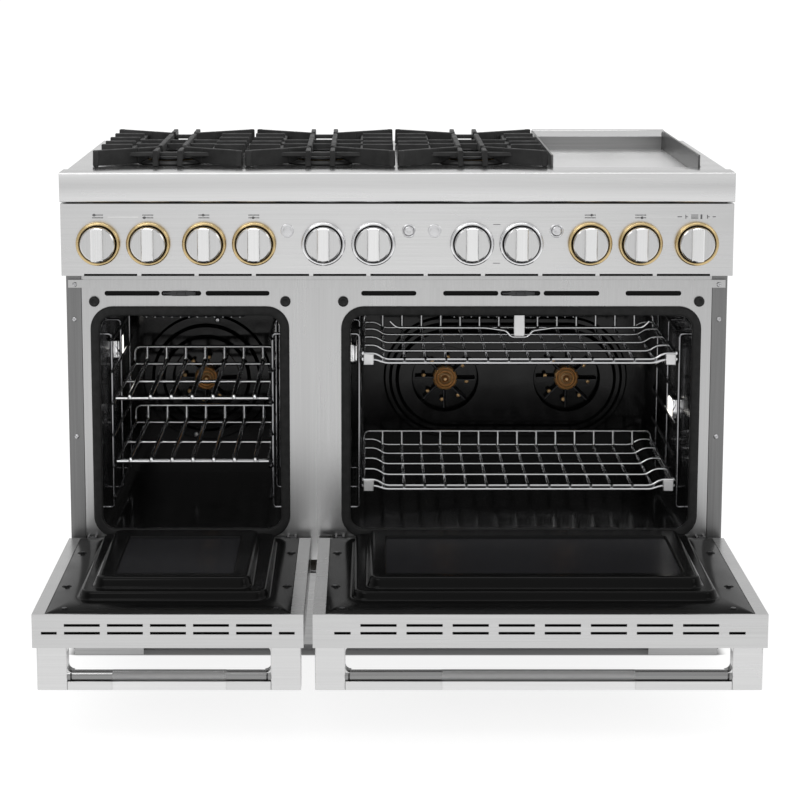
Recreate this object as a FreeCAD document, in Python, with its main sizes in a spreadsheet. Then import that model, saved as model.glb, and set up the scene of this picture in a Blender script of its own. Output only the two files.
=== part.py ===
"""A 48-inch freestanding gas range: six burners, a griddle and two ovens with drop-down doors.

Axes: +X to the right, +Y towards the wall, +Z up. The origin is on the floor, centred under the
range as it stands with both doors open. Every size and place is in millimetres.
"""
import FreeCAD
import Part

import math
import os
import re

import Sketcher

# ---------------------------------------------------------------- driving dimensions
SIZES = {
    # shared: how far a cutting block passes a face, seams between sheets, loose fits
    "overcut": 1.0, "seam": 1.0, "slack": 0.3,
    # case: half widths, heights and depths
    "rail_half": 608.0, "panel_half": 607.0, "case_half": 605.0, "deck_half": 600.5,
    "frame_half": 577.0, "rail_front": -112.0, "frame_front": -64.0, "ledge_back": -47.0,
    "deck_back": 540.0, "case_back": 578.0, "cook_height": 914.4, "rail_bottom": 861.0,
    "panel_top": 858.0, "panel_bottom": 727.0, "kick_top": 159.0, "toe_height": 21.0,
    "toe_half": 474.0, "frame_bottom": 185.0, "case_bottom": 12.0, "case_top": 872.0,
    "sheet_steel": 2.0, "rail_round": 9.0, "deck_skirt": 38.0, "trim_top": 905.0,
    # base pan, sills and legs
    "pan_bottom": 160.0, "sill_inner": 562.0, "sill_outer": 600.0, "sill_bottom": 100.0,
    "leg_across": 580.0, "leg_front": -15.0, "leg_rear": 525.0, "leg_radius": 17.0,
    "foot_radius": 21.0, "foot_height": 9.0, "pan_sheet": 3.0, "base_inset": 3.0,
    "kick_inset": 2.3, "kick_lip": 5.5, "toe_board_back": 24.0, "toe_board_wide": 8.0,
    "toe_board_lift": 2.0,
    # ovens
    "left_in": -545.0, "left_out": -214.0, "right_in": -85.0, "right_out": 542.0,
    "oven_bottom": 245.0, "oven_top": 647.0, "oven_back": 388.0, "oven_corner": 25.0,
    "gasket_wide": 17.0, "gasket_proud": 6.7, "wool": 40.0, "wool_half": 575.0, "wool_start": 2.2,
    "baffle_deep": 24.0, "fan_height": 445.0, "fan_left_across": -381.0,
    "fan_mid_across": 104.0, "fan_right_across": 351.0, "baffle_radius": 131.0,
    "fan_opening": 68.0, "fan_hub": 25.0, "fan_tip": 61.0, "fan_deep": 14.0,
    # doors
    "door_left_a": -605.0, "door_left_b": -158.5, "door_right_a": -143.5, "door_right_b": 605.0,
    "pivot_fore": -81.0, "pivot_height": 225.0, "door_tip": -578.0, "door_heel": -73.0,
    "door_inner": 235.0, "door_outer": 178.0, "door_border": 21.0, "heel_top": 229.0,
    "liner_heel": -96.5, "liner_tip": -574.0, "step_tip": -496.0, "step_heel": -110.0,
    "step_high": 14.0, "raised_tip": -472.0, "raised_heel": -150.0, "raised_high": 32.0,
    "liner_edge": 3.5, "liner_wall": 3.0, "pane_seat": 2.2,
    "window_tip": -440.0, "window_heel": -202.0, "glass": 4.0,
    "bumper_height": 673.0, "bumper_proud": 6.3, "bumper_radius": 9.5,
    "slot_high": 4.5, "slot_upper": 216.6, "slot_lower": 203.3,
    # hinges
    "hinge_pin": 4.0, "running_fit": 0.05, "eye_radius": 9.0, "arm_half": 4.0, "ear_gap": 5.0,
    "ear_out": 8.5, "notch_half": 14.0, "arm_reach": 130.0,
    # handles
    "arm_wide": 50.0, "handle_tip": -572.0, "handle_deep": 29.0, "handle_out": 103.5,
    "bar_thick": 32.0, "bar_round": 9.5,
    # racks and their guides
    "glide_fore": 6.0, "glide_aft": 9.0, "glide_wide": 14.0, "glide_out": 4.0,
    "glide_below": 10.0, "glide_above": 8.0, "rim_extra": 0.8, "bar_lift": 3.0,
    "wire": 3.0, "thin_wire": 2.6, "guide_offset": 20.5, "upright_offset": 15.5,
    "rack_side": 24.0, "rack_front": -31.0, "rack_rear": 316.0, "guide_front": -52.0,
    "guide_rear": 330.0, "rack_pitch": 38.8,
    # cooktop
    "module": 276.0, "first_module": -422.0, "grate_half": 134.0, "grate_front": -2.0,
    "grate_rear": 470.0, "grate_top": 944.0, "bar_deep": 15.0, "burner_front": 88.0,
    "burner_rear": 378.0, "burner_radius": 43.0, "cap_radius": 49.0, "burner_top": 923.0,
    "deck_hole": 36.0, "cap_high": 4.0, "cap_edge": 0.6,
    "griddle_a": 285.0, "griddle_b": 560.0, "griddle_front": -8.0, "griddle_rear": 536.0,
    "griddle_wall": 5.0, "griddle_top": 935.5, "griddle_plate": 898.0, "plate_thick": 12.0,
    # gas pipes
    "supply_radius": 9.0, "valve_radius": 13.0, "inlet_across": 430.0, "inlet_height": 70.0,
    "inlet_top": 140.0, "pipe_radius": 9.0, "thread_radius": 10.67, "thread_long": 20.0,
    "riser_back": 60.0, "inlet_hole": 30.0, "louvre_start": 560.0, "louvre_pitch": 22.0,
    # controls
    "knob_height": 786.0, "panel_face": -109.0, "bezel_out": 40.0, "bezel_in": 33.5,
    "bezel_deep": 12.0, "knob_radius": 31.0, "knob_back": -111.5, "knob_disc": -127.0,
    "knob_front": -139.0, "grip_wide": 22.0, "stem": 4.0, "stem_tip": -124.0, "stem_hole": 7.0,
    "button_height": 809.0, "button_radius": 9.0, "button_ring": 12.5,
}

KNOBS_ACROSS = [-539.5, -449.0, -348.0, -258.0, -133.0, -43.0, 135.0, 224.0, 348.0, 439.0, 540.0]
CHROME_BEZELS = (4, 5, 6, 7)
BUTTONS_ACROSS = {"push_button_left": 21.0, "push_button_right": 287.5}
LENSES_ACROSS = (-198.0, 67.5)
HINGES = {"left": (-565.0, -194.0), "right": (-105.0, 565.0)}
LATCHES_ACROSS = (-394.5, 226.5)
BUMPERS_ACROSS = (-554.0, -204.0, -98.0, 554.0)
MODULES = (0, 1, 2)
MODULE_GAP = 5.3
LOUVRE_COLUMNS = (-300, 0, 300)
FRAME_VENTS = ((-535, -434), (-431, -358), (-350, -233), (-65, 36), (85, 186), (190, 263),
               (269, 371), (419, 521))
# doors: window and pressed steps from left to right; vent slots as count, start, length, pitch
WINDOWS = {"left": ("-481", "-282"), "right": ("-20", "481")}
STEPS = {"left": ("-538", "-221"), "right": ("-78", "535")}
RAISED = {"left": ("-515", "-250"), "right": ("-52", "512")}
DOOR_SLOTS = {"left": (5, -552.0, 59.0, 70.7), "right": (8, -65.0, 59.5, 75.7)}
END_SLOTS = {"left": ((-590, -564), (-199, -173)), "right": ((-108, -81), (541, 568))}
# ovens: heights of the rungs and racks, and each lamp's wall, side, depth and height
RUNGS = {"left": (305, 365, 425, 485, 545), "right": (319, 379, 439, 499, 559)}
RACKS = {"rack_left_upper": ("left", 485), "rack_left_lower": ("left", 365),
         "rack_right_upper": ("right", 559), "rack_right_lower": ("right", 319)}
CROSS_WIRES = {"left": ("rack_front", 72, 200, "rack_rear"),
               "right": ("rack_front", 50, 147, 237, "rack_rear")}
GUARDS = {"left": 35, "right": 28}
UPRIGHTS = (-20, 140, 300)
LAMPS = (("left_in", 1, 199, 543), ("right_out", -1, 141, 437), ("right_in", 1, 199, 535))
BROILERS_ACROSS = ((-480, -282), (100, 356))
FINGERS = (131, 201, 283, 369)
BRIDGES = (201, 283)

doc = FreeCAD.newDocument("GasRange")
dims = doc.addObject("Spreadsheet::Sheet", "Dims")
for row, (alias, number) in enumerate(SIZES.items(), start=1):
    dims.set("A%d" % row, alias)
    dims.set("B%d" % row, str(number))
    dims.setAlias("B%d" % row, alias)
doc.recompute()

sub_parts = {}


# ---------------------------------------------------------------- helpers
def mm(alias):
    """The number that the sheet holds for one dimension."""
    return float(dims.get(alias))


def formula(text):
    """Turn 'case_half - sheet_steel' into an expression that reads the sheet."""
    return re.sub(r"[a-z][a-z_]+", lambda word: "Dims." + word.group(), str(text))


def bind(thing, prop, text):
    thing.setExpression(prop, formula(text))


def box(x, y, z):
    """A block between a low and a high formula along each axis."""
    block = doc.addObject("Part::Box", "Block")
    for axis, side, (low, high) in zip("xyz", ("Length", "Width", "Height"), (x, y, z)):
        bind(block, ".Placement.Base." + axis, low)
        bind(block, side, "(%s) - (%s)" % (high, low))
    return block


ALONG = {
    "x": FreeCAD.Rotation(FreeCAD.Vector(0, 1, 0), 90),
    "y": FreeCAD.Rotation(FreeCAD.Vector(1, 0, 0), -90),
    "z": FreeCAD.Rotation(),
}


def rod(axis, centre, span, radius):
    """A round bar along one axis; centre gives the other two coordinates in X, Y, Z order."""
    bar = doc.addObject("Part::Cylinder", "Rod")
    bar.Placement = FreeCAD.Placement(FreeCAD.Vector(), ALONG[axis])
    across = [name for name in "xyz" if name != axis]
    for name, place in zip(across, centre):
        bind(bar, ".Placement.Base." + name, place)
    bind(bar, ".Placement.Base." + axis, span[0])
    bind(bar, "Height", "(%s) - (%s)" % (span[1], span[0]))
    bind(bar, "Radius", radius)
    return bar


BOX_EDGES = {"z": (1, 3, 5, 7), "y": (2, 4, 6, 8), "x": (9, 10, 11, 12)}


def soften(block, axis, radius, edges=None):
    """Round the edges of a block that run along one axis."""
    soft = doc.addObject("Part::Fillet", "Soft")
    soft.Base = block
    chosen = edges or BOX_EDGES[axis]
    soft.Edges = [(edge, radius, radius) for edge in chosen]
    return soft


def fuse(*pieces):
    if len(pieces) == 1:
        return pieces[0]
    whole = doc.addObject("Part::MultiFuse", "Fused")
    whole.Shapes = list(pieces)
    whole.Refine = True
    return whole


def group(*pieces):
    """Separate solids that make one sub-part, such as a set of equal screws."""
    if len(pieces) == 1:
        return pieces[0]
    bundle = doc.addObject("Part::Compound", "Group")
    bundle.Links = list(pieces)
    return bundle


def cut(base, *tools):
    piece = doc.addObject("Part::Cut", "Cut")
    piece.Base = base
    piece.Tool = group(*tools)
    return piece


def sub_part(name, thing):
    thing.Label = name
    sub_parts[name] = thing
    return thing


def plane_of(body, role):
    return next(item for item in body.Origin.OriginFeatures if item.Role == role)


def outline(body, role, points):
    """A closed sketch of straight sides, each corner placed by two formulas."""
    sketch = body.newObject("Sketcher::SketchObject", "Outline")
    sketch.AttachmentSupport = [(plane_of(body, role), "")]
    sketch.MapMode = "FlatFace"
    count = len(points)
    rough = [FreeCAD.Vector(math.cos(2 * math.pi * k / count), math.sin(2 * math.pi * k / count))
             for k in range(count)]
    for k in range(count):
        sketch.addGeometry(Part.LineSegment(rough[k], rough[(k + 1) % count]), False)
    for k in range(count):
        sketch.addConstraint(Sketcher.Constraint("Coincident", k, 2, (k + 1) % count, 1))
    for k, point in enumerate(points):
        for kind, start, text in zip(("DistanceX", "DistanceY"), rough[k], point):
            index = sketch.addConstraint(Sketcher.Constraint(kind, -1, 1, k, 1, start))
            bind(sketch, "Constraints[%d]" % index, text)
    return sketch


def pad_body(role, points, length):
    """A PartDesign body: one outline, padded to both sides of its plane."""
    body = doc.addObject("PartDesign::Body", "Body")
    pad = body.newObject("PartDesign::Pad", "Pad")
    pad.Profile = outline(body, role, points)
    pad.SideType = "Symmetric"
    bind(pad, "Length", length)
    body.Tip = pad
    return body


def turned_body(points):
    """A PartDesign body turned about the Y axis from (distance along Y, radius) corners."""
    body = doc.addObject("PartDesign::Body", "Body")
    turn = body.newObject("PartDesign::Revolution", "Turn")
    turn.Profile = outline(body, "YZ_Plane", points)
    turn.ReferenceAxis = (turn.Profile[0], ["H_Axis"])
    turn.Angle = 360
    body.Tip = turn
    return body


def place(thing, x=0, y=0, z=0):
    for axis, text in zip("xyz", (x, y, z)):
        bind(thing, ".Placement.Base." + axis, text)
    return thing


# ---------------------------------------------------------------- case and base
def chassis_base():
    """A base pan on two sills and four levelling legs, with a toe board under its front."""
    depth = ("frame_front + 2 * base_inset", "case_back - base_inset")
    pieces = [box(("-case_half + base_inset", "case_half - base_inset"), depth,
                  ("pan_bottom", "pan_bottom + pan_sheet"))]
    for side in (-1, 1):
        inner, outer = sorted((side * mm("sill_inner"), side * mm("sill_outer")))
        pieces.append(box((inner, outer), depth, ("sill_bottom", "pan_bottom")))
        across = side * mm("leg_across")
        for row in ("leg_front", "leg_rear"):
            pieces.append(fuse(rod("z", (across, row), ("foot_height", "sill_bottom"),
                                   "leg_radius"),
                               rod("z", (across, row), ("0", "foot_height"), "foot_radius")))
    pieces.append(box(("-toe_half - toe_board_wide", "toe_half + toe_board_wide"),
                      ("frame_front + toe_board_back",
                       "frame_front + toe_board_back + sheet_steel"),
                      ("toe_board_lift", "pan_bottom")))
    sub_part("chassis_base", group(*pieces))


def kick_panel():
    wide = ("-case_half + kick_inset", "case_half - kick_inset")
    plate = box(wide, ("frame_front", "frame_front + sheet_steel"), ("0", "kick_top"))
    toe = box(("-toe_half", "toe_half"), ("frame_front - overcut", "frame_front + kick_lip"),
              ("-overcut", "toe_height"))
    lip = box(wide, ("frame_front", "frame_front + kick_lip"),
              ("kick_top - sheet_steel", "kick_top"))
    sub_part("kick_panel", fuse(cut(plate, toe), lip))


def side_panels():
    for name, side in (("side_panel_left", -1), ("side_panel_right", 1)):
        low, high = sorted((side * mm("case_half"), side * (mm("case_half") - mm("sheet_steel"))))
        skin = box((low, high), ("frame_front", "case_back - sheet_steel"),
                   ("case_bottom", "case_top"))
        low, high = sorted((side * mm("case_half"), side * (mm("frame_half") + 1)))
        flange = box((low, high), ("frame_front", "frame_front + sheet_steel"),
                     ("kick_top + seam", "panel_bottom - seam"))
        control_box = box(("-case_half - overcut", "case_half + overcut"),
                          ("frame_front - overcut", "ledge_back"),
                          ("panel_bottom - 0.5", "case_top + overcut"))
        sub_part(name, cut(fuse(skin, flange), control_box))


def back_panel():
    plate = box(("-case_half", "case_half"), ("case_back - sheet_steel", "case_back"),
                ("case_bottom", "trim_top - 30"))
    through = ("case_back - sheet_steel - overcut", "case_back + overcut")
    gas_way = rod("y", ("inlet_across", "inlet_height"), through, "inlet_hole")
    louvres = []
    for column in LOUVRE_COLUMNS:
        for step in range(5):
            low = mm("louvre_start") + step * mm("louvre_pitch")
            louvres.append(box((column - 90, column + 90), through, (low, low + 8)))
    sub_part("back_panel", cut(plate, gas_way, *louvres))


def rear_trim():
    """The low island trim behind the cooktop, with a row of vent slots in its top."""
    outer = box(("-deck_half", "deck_half"), ("deck_back + 0.3", "case_back"),
                ("trim_top - 30", "trim_top"))
    inner = box(("-deck_half + sheet_steel", "deck_half - sheet_steel"),
                ("deck_back + slack + sheet_steel", "case_back - sheet_steel"),
                ("trim_top - 31", "trim_top - sheet_steel"))
    slots = []
    for step in range(10):
        start = -545 + 110 * step
        slots.append(box((start, start + 96), ("deck_back + 15", "deck_back + 25"),
                         ("trim_top - 5", "trim_top + overcut")))
    sub_part("rear_trim", cut(outer, inner, *slots))


# ---------------------------------------------------------------- front
def oven_mouths(extra, y_span):
    """The two oven openings as solid blocks, grown by extra all round."""
    mouths = []
    for low, high in (("left_in", "left_out"), ("right_in", "right_out")):
        block = box(("%s - %s" % (low, extra), "%s + %s" % (high, extra)), y_span,
                    ("oven_bottom - %s" % extra, "oven_top + %s" % extra))
        mouths.append(soften(block, "y", mm("oven_corner") + float(extra)))
    return mouths


def front_frame():
    plate = box(("-frame_half", "frame_half"), ("frame_front", "frame_front + 3"),
                ("frame_bottom", "panel_bottom - seam"))
    strip = box(("-case_half + 4", "case_half - 4"), ("frame_front - 4", "frame_front"),
                ("699", "713.5"))
    cuts = oven_mouths("0", ("frame_front - 9", "frame_front + 9"))
    for low, high in FRAME_VENTS:
        slot = box((low, high), ("frame_front - overcut", "frame_front + 5"), ("683.5", "692.5"))
        cuts.append(soften(slot, "y", 4.2))
    for step in range(11):
        start = -577 + 104.3 * step + 3
        cuts.append(box((start, start + 99), ("frame_front - overcut", "frame_front + 5"),
                        ("715", "719")))
    sub_part("front_frame", fuse(cut(plate, *cuts), strip))


def gaskets():
    rings = []
    grown = oven_mouths(str(mm("gasket_wide")), ("frame_front - gasket_proud", "frame_front"))
    holes = oven_mouths("0", ("frame_front - gasket_proud - overcut", "frame_front + overcut"))
    for ring, hole in zip(grown, holes):
        rings.append(cut(ring, hole))
    sub_part("oven_gaskets", group(*rings))


def bumpers():
    pads = [rod("y", (across, "bumper_height"), ("frame_front - bumper_proud", "frame_front"),
                "bumper_radius") for across in BUMPERS_ACROSS]
    sub_part("door_bumpers", group(*pads))


def frame_screws():
    heads = [rod("y", (side * 589, "705"), ("frame_front - 6", "frame_front - 4"), "4.5")
             for side in (-1, 1)]
    heads += [rod("y", (side * 591, z), ("frame_front - sheet_steel", "frame_front"), "4.5")
              for side in (-1, 1) for z in ("420", "640")]
    sub_part("frame_screws", group(*heads))


def hinge_and_latch_seats():
    """Two ears and a pin for each door hinge, and the hook of each door latch."""
    pieces = []
    for across in HINGES["left"] + HINGES["right"]:
        ears = []
        for side in (-1, 1):
            low, high = sorted((side * mm("ear_gap"), side * mm("ear_out")))
            block = box((across + low, across + high), ("pivot_fore", "frame_front"),
                        ("pivot_height - 8", "pivot_height + 8"))
            ears.append(block)
            ears.append(rod("x", ("pivot_fore", "pivot_height"), (across + low, across + high),
                            "8"))
        ears.append(rod("x", ("pivot_fore", "pivot_height"),
                        ("%s - ear_out" % across, "%s + ear_out" % across), "hinge_pin"))
        pieces.append(fuse(*ears))
    for across in LATCHES_ACROSS:
        hook = box((across - 9, across + 9), ("frame_front - 5", "frame_front + 2.8"),
                   ("685.5", "690.5"))
        pieces.append(soften(hook, "z", 3.0))
    sub_part("hinge_and_latch_seats", group(*pieces))


def front_rail():
    """The rounded rail along the front edge of the cooktop, a channel open at the back."""
    back, front = "ledge_back", "rail_front"
    outer = pad_body("YZ_Plane", [(front, "rail_bottom"), (back, "rail_bottom"),
                                  (back, "cook_height"), (front, "cook_height")],
                     "2 * rail_half")
    front_edges = doc.addObject("Part::Fillet", "Bullnose")
    front_edges.Base = outer
    doc.recompute()
    chosen = []
    for number, edge in enumerate(outer.Shape.Edges, start=1):
        middle = edge.CenterOfMass
        if abs(middle.x) < 1 and abs(middle.y - mm("rail_front")) < 1:
            radius = mm("rail_round") if middle.z > 900 else 3.0
            chosen.append((number, radius, radius))
    front_edges.Edges = chosen
    hollow = box(("-rail_half + sheet_steel", "rail_half - sheet_steel"),
                 ("rail_front + 2.2", "ledge_back + overcut"),
                 ("rail_bottom + sheet_steel", "cook_height - sheet_steel"))
    sub_part("front_rail", cut(front_edges, soften(hollow, "x", 7.0, edges=(10,))))


def control_panel():
    skin = box(("-panel_half", "panel_half"), ("panel_face", "ledge_back"),
               ("panel_bottom", "panel_top"))
    hollow = box(("-panel_half + sheet_steel", "panel_half - sheet_steel"),
                 ("panel_face + sheet_steel", "ledge_back + overcut"),
                 ("panel_bottom + sheet_steel", "panel_top - sheet_steel"))
    holes = [rod("y", (x, "knob_height"), ("panel_face - overcut", "panel_face + 5"), "stem_hole")
             for x in KNOBS_ACROSS]
    holes += [rod("y", (x, "button_height"), ("panel_face - overcut", "panel_face + 5"),
                  "button_radius + 0.4") for x in BUTTONS_ACROSS.values()]
    sub_part("control_panel", cut(skin, hollow, *holes))


def bezels():
    kinds = {"knob_bezels_brass": [], "knob_bezels_chrome": []}
    for index, across in enumerate(KNOBS_ACROSS):
        name = "knob_bezels_chrome" if index in CHROME_BEZELS else "knob_bezels_brass"
        ring = turned_body([("0", "bezel_in"), ("0", "bezel_out"),
                            ("-bezel_deep + 3", "bezel_out"), ("-bezel_deep", "bezel_out - 2.5"),
                            ("-bezel_deep", "bezel_in + 1.0"), ("-bezel_deep + 3", "bezel_in")])
        kinds[name].append(place(ring, across, "panel_face", "knob_height"))
    for name, rings in kinds.items():
        sub_part(name, group(*rings))


def knobs():
    """Each knob: a turned disc with a raised grip bar and a blind bore for the valve stem."""
    for index, across in enumerate(KNOBS_ACROSS, start=1):
        disc = turned_body([("knob_back", "0"), ("knob_back", "knob_radius - 1.5"),
                            ("knob_back - 3", "knob_radius"), ("knob_disc + 2.0", "knob_radius"),
                            ("knob_disc", "knob_radius - 2.0"), ("knob_disc", "0")])
        place(disc, across, 0, "knob_height")
        grip = box(("%s - grip_wide / 2" % across, "%s + grip_wide / 2" % across),
                   ("knob_front", "knob_disc + 3"),
                   ("knob_height - knob_radius + 1.5", "knob_height + knob_radius - 1.5"))
        rounded = soften(grip, "y", 5.0)
        bore = rod("y", (across, "knob_height"), ("stem_tip - overcut", "knob_back + overcut"),
                   "stem + running_fit")
        sub_part("knob_%02d" % index, cut(fuse(disc, rounded), bore))


def buttons_and_lenses():
    for name, across in BUTTONS_ACROSS.items():
        cap = rod("y", (across, "button_height"), ("panel_face - 4", "panel_face + 14"),
                  "button_radius")
        collar = rod("y", (across, "button_height"), ("panel_face + 5", "panel_face + 8"),
                     "button_radius + 3")
        sub_part(name, fuse(cap, collar))
    lenses = [rod("y", (across, "button_height"), ("panel_face - 1.5", "panel_face"),
                  "button_ring") for across in LENSES_ACROSS]
    for across in BUTTONS_ACROSS.values():
        ring = rod("y", (across, "button_height"), ("panel_face - 1.5", "panel_face"),
                   "button_ring")
        hole = rod("y", (across, "button_height"), ("panel_face - 3", "panel_face + overcut"),
                   "button_radius + 0.4")
        lenses.append(cut(ring, hole))
    sub_part("indicator_lenses", group(*lenses))


# ---------------------------------------------------------------- ovens
def oven_liners():
    shells = []
    outer = oven_mouths("2", ("frame_front + 3", "oven_back + sheet_steel"))
    inner = oven_mouths("0", ("frame_front", "oven_back"))
    for shell, hollow in zip(outer, inner):
        shells.append(cut(shell, hollow))
    sub_part("oven_liners", group(*shells))


def oven_insulation():
    depth = ("frame_front + 3", "oven_back + wool")
    full = ("-wool_half", "wool_half")
    low, high = "oven_bottom - wool_start", "oven_top + wool_start"
    slabs = [
        box(full, depth, (low + " - wool", low)),
        box(full, depth, (high, high + " + wool")),
        box(("-wool_half", "left_in - wool_start"), depth, (low, high)),
        box(("left_out + wool_start", "right_in - wool_start"), depth, (low, high)),
        box(("right_out + wool_start", "wool_half"), depth, (low, high)),
    ]
    for left, right in (("left_in", "left_out"), ("right_in", "right_out")):
        slabs.append(box((left + " - wool_start", right + " + wool_start"),
                         ("oven_back + wool_start", "oven_back + wool"), (low, high)))
    sub_part("oven_insulation", group(*slabs))


def fan_baffles():
    """Pressed covers over the convection fans: a ringed disc on the left, a long oval right."""
    face = "-baffle_deep"
    profile = [("0", "baffle_radius"), (face + " / 2", "baffle_radius - 5"),
               (face + " / 2", "baffle_radius - 23"), (face, "baffle_radius - 28"),
               (face, "fan_opening"), (face + " + sheet_steel", "fan_opening"),
               (face + " + sheet_steel", "baffle_radius - 30"),
               (face + " / 2 + sheet_steel", "baffle_radius - 25"),
               (face + " / 2 + sheet_steel", "baffle_radius - 7"), ("0", "baffle_radius - 3")]
    left = place(turned_body(profile), "fan_left_across", "oven_back", "fan_height")
    span = ("fan_mid_across - 125", "fan_right_across + 125")
    block = box(span, ("oven_back - baffle_deep", "oven_back"),
                ("fan_height - 125", "fan_height + 125"))
    inside = box(("fan_mid_across - 122", "fan_right_across + 122"),
                 ("oven_back - baffle_deep + sheet_steel", "oven_back + overcut"),
                 ("fan_height - 122", "fan_height + 122"))
    ports = [rod("y", (x, "fan_height"), ("oven_back - 40", "oven_back + overcut"), "fan_opening")
             for x in ("fan_mid_across", "fan_right_across")]
    right = cut(cut(soften(block, "y", 124.5), soften(inside, "y", 121.5)), *ports)
    sub_part("fan_baffles", group(left, right))


def fans():
    """A hub with eight pitched blades in front of a thin back disc."""
    for name, across in (("fan_left", "fan_left_across"), ("fan_middle", "fan_mid_across"),
                         ("fan_right", "fan_right_across")):
        hub = turned_body([("-fan_deep - 4", "0"), ("-fan_deep - 4", "fan_hub - 9"),
                           ("-fan_deep", "fan_hub"), ("0", "fan_hub"), ("0", "0")])
        blades = [hub]
        count = 8
        for step in range(count):
            blade = doc.addObject("Part::Box", "Blade")
            bind(blade, "Length", "fan_tip - fan_hub + 3")
            blade.Width = 1.6
            bind(blade, "Height", "fan_deep + sheet_steel")
            turn = FreeCAD.Rotation(FreeCAD.Vector(0, 1, 0), 360.0 * step / count)
            pitch = FreeCAD.Rotation(FreeCAD.Vector(1, 0, 0), 55)
            start = turn.multVec(FreeCAD.Vector(mm("fan_hub") - 3, -mm("fan_deep") + 1, -4))
            blade.Placement = FreeCAD.Placement(start, turn.multiply(pitch))
            blades.append(blade)
        wheel = fuse(*blades)
        sub_part(name, place(wheel, across, "oven_back - 3", "fan_height"))


def rack_guides():
    """A wire ladder on each side wall; every rung carries the edge of a rack."""
    ladders = []
    walls = [(oven + end, side) for oven in RUNGS for end, side in (("_in", 1), ("_out", -1))]
    for wall, side in walls:
        upright = "%s + %d * upright_offset" % (wall, side)
        rung = "%s + %d * guide_offset" % (wall, side)
        wires = []
        for depth in UPRIGHTS:
            wires.append(rod("z", (upright, depth), ("268", "612"), "wire"))
            for height in (275, 605):
                near, far = sorted((0.2 * side, 15.5 * side))
                wires.append(rod("x", (depth, height), ("%s + %s" % (wall, near),
                                                        "%s + %s" % (wall, far)), "wire"))
        start = "rack_front + 12" if wall.startswith("right") else "guide_front"
        for height in RUNGS[wall.split("_")[0]]:
            wires.append(rod("y", (rung, "%d - 2 * wire - 1.1" % height),
                             (start, "guide_rear"), "wire"))
        ladders.append(fuse(*wires))
    sub_part("rack_guides", group(*ladders))


def rack(name, oven, height):
    """An oven rack: a level grille of bars on a heavy rim, a rear guard, and glides if wide."""
    low, high = "%s_in + rack_side" % oven, "%s_out - rack_side" % oven
    rim = "wire + rim_extra"
    bars = [rod("y", (across, height), ("rack_front", "rack_rear"), rim)
            for across in (low, high)]
    bars += [rod("x", (depth, height), (low, high), rim) for depth in CROSS_WIRES[oven]]
    left = mm(oven + "_in") + mm("rack_side")
    width = mm(oven + "_out") - mm("rack_side") - left
    count = int(width // mm("rack_pitch"))
    margin = (width - (count - 1) * mm("rack_pitch")) / 2
    for step in range(count):
        across = "%s + %s + %d * rack_pitch" % (low, round(margin, 2), step)
        bars.append(rod("y", (across, "%s + bar_lift" % height), ("rack_front", "rack_rear"),
                        "thin_wire"))
    grille = fuse(*bars)

    glides = []
    if oven == "right":
        for near, far in ((low + " - glide_out", low + " + glide_wide"),
                          (high + " - glide_wide", high + " + glide_out")):
            glides.append(box((near, far), ("rack_front - glide_fore", "rack_front + glide_aft"),
                              ("%s - glide_below" % height, "%s + glide_above" % height)))
        grille = cut(grille, *glides)
    top = "%s + %s" % (height, GUARDS[oven])
    posts = [rod("z", (across, "rack_rear"), (height, top), "wire") for across in (low, high)]
    guard = fuse(*posts, rod("x", ("rack_rear", top), (low, high), "wire"))
    sub_part(name, group(grille, cut(guard, grille), *glides))


def racks():
    for name, (oven, height) in RACKS.items():
        rack(name, oven, height)


def oven_burners():
    """Broil burners under each oven roof with the hanger in the large one, and bake tubes."""
    pieces = []
    for low, high in BROILERS_ACROSS:
        body = box((low, high), ("40", "290"), ("626", "oven_top - 0.3"))
        pieces.append(soften(body, "z", 8.0))
    tab = soften(box(("219", "237"), ("-20", "-17"), ("596", "oven_top - 0.3")), "y", 2.0)
    foot = box(("206", "250"), ("-20", "30"), ("oven_top - 3.3", "oven_top - 0.3"))
    wires = [rod("x", ("-18.5", "606"), ("122", "340"), "2.2")]
    pieces.append(fuse(tab, foot, *wires))
    sub_part("oven_burners", group(*pieces))


def oven_lamps():
    lamps = []
    for wall, side, depth, height in LAMPS:
        near, far = sorted((0.2 * side, 10.5 * side))
        glass = box(("%s + %s" % (wall, near), "%s + %s" % (wall, far)),
                    (depth - 42, depth + 42), (height - 21, height + 21))
        lamps.append(soften(glass, "x", 8.0))
    sub_part("oven_lamps", group(*lamps))


# ---------------------------------------------------------------- cooktop
def module_across(index):
    return round(mm("first_module") + index * (mm("module") + MODULE_GAP), 2)


def cooktop_deck():
    outer = box(("-deck_half", "deck_half"), ("ledge_back + 0.2", "deck_back"),
                ("cook_height - deck_skirt", "cook_height - 0.4"))
    inner = box(("-deck_half + sheet_steel", "deck_half - sheet_steel"),
                ("ledge_back + 0.2 + sheet_steel", "deck_back - sheet_steel"),
                ("cook_height - deck_skirt - overcut", "cook_height - 2.4"))
    holes = [box(("griddle_a - 0.5", "griddle_b + 0.5"), ("griddle_front - 0.5",
                 "griddle_rear - 0.5 + 1"), ("cook_height - 9", "cook_height + overcut"))]
    for index in MODULES:
        for row in ("burner_front", "burner_rear"):
            holes.append(rod("z", (module_across(index), row),
                             ("cook_height - 9", "cook_height + overcut"), "deck_hole"))
    sub_part("cooktop_deck", cut(outer, inner, *holes))


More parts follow.
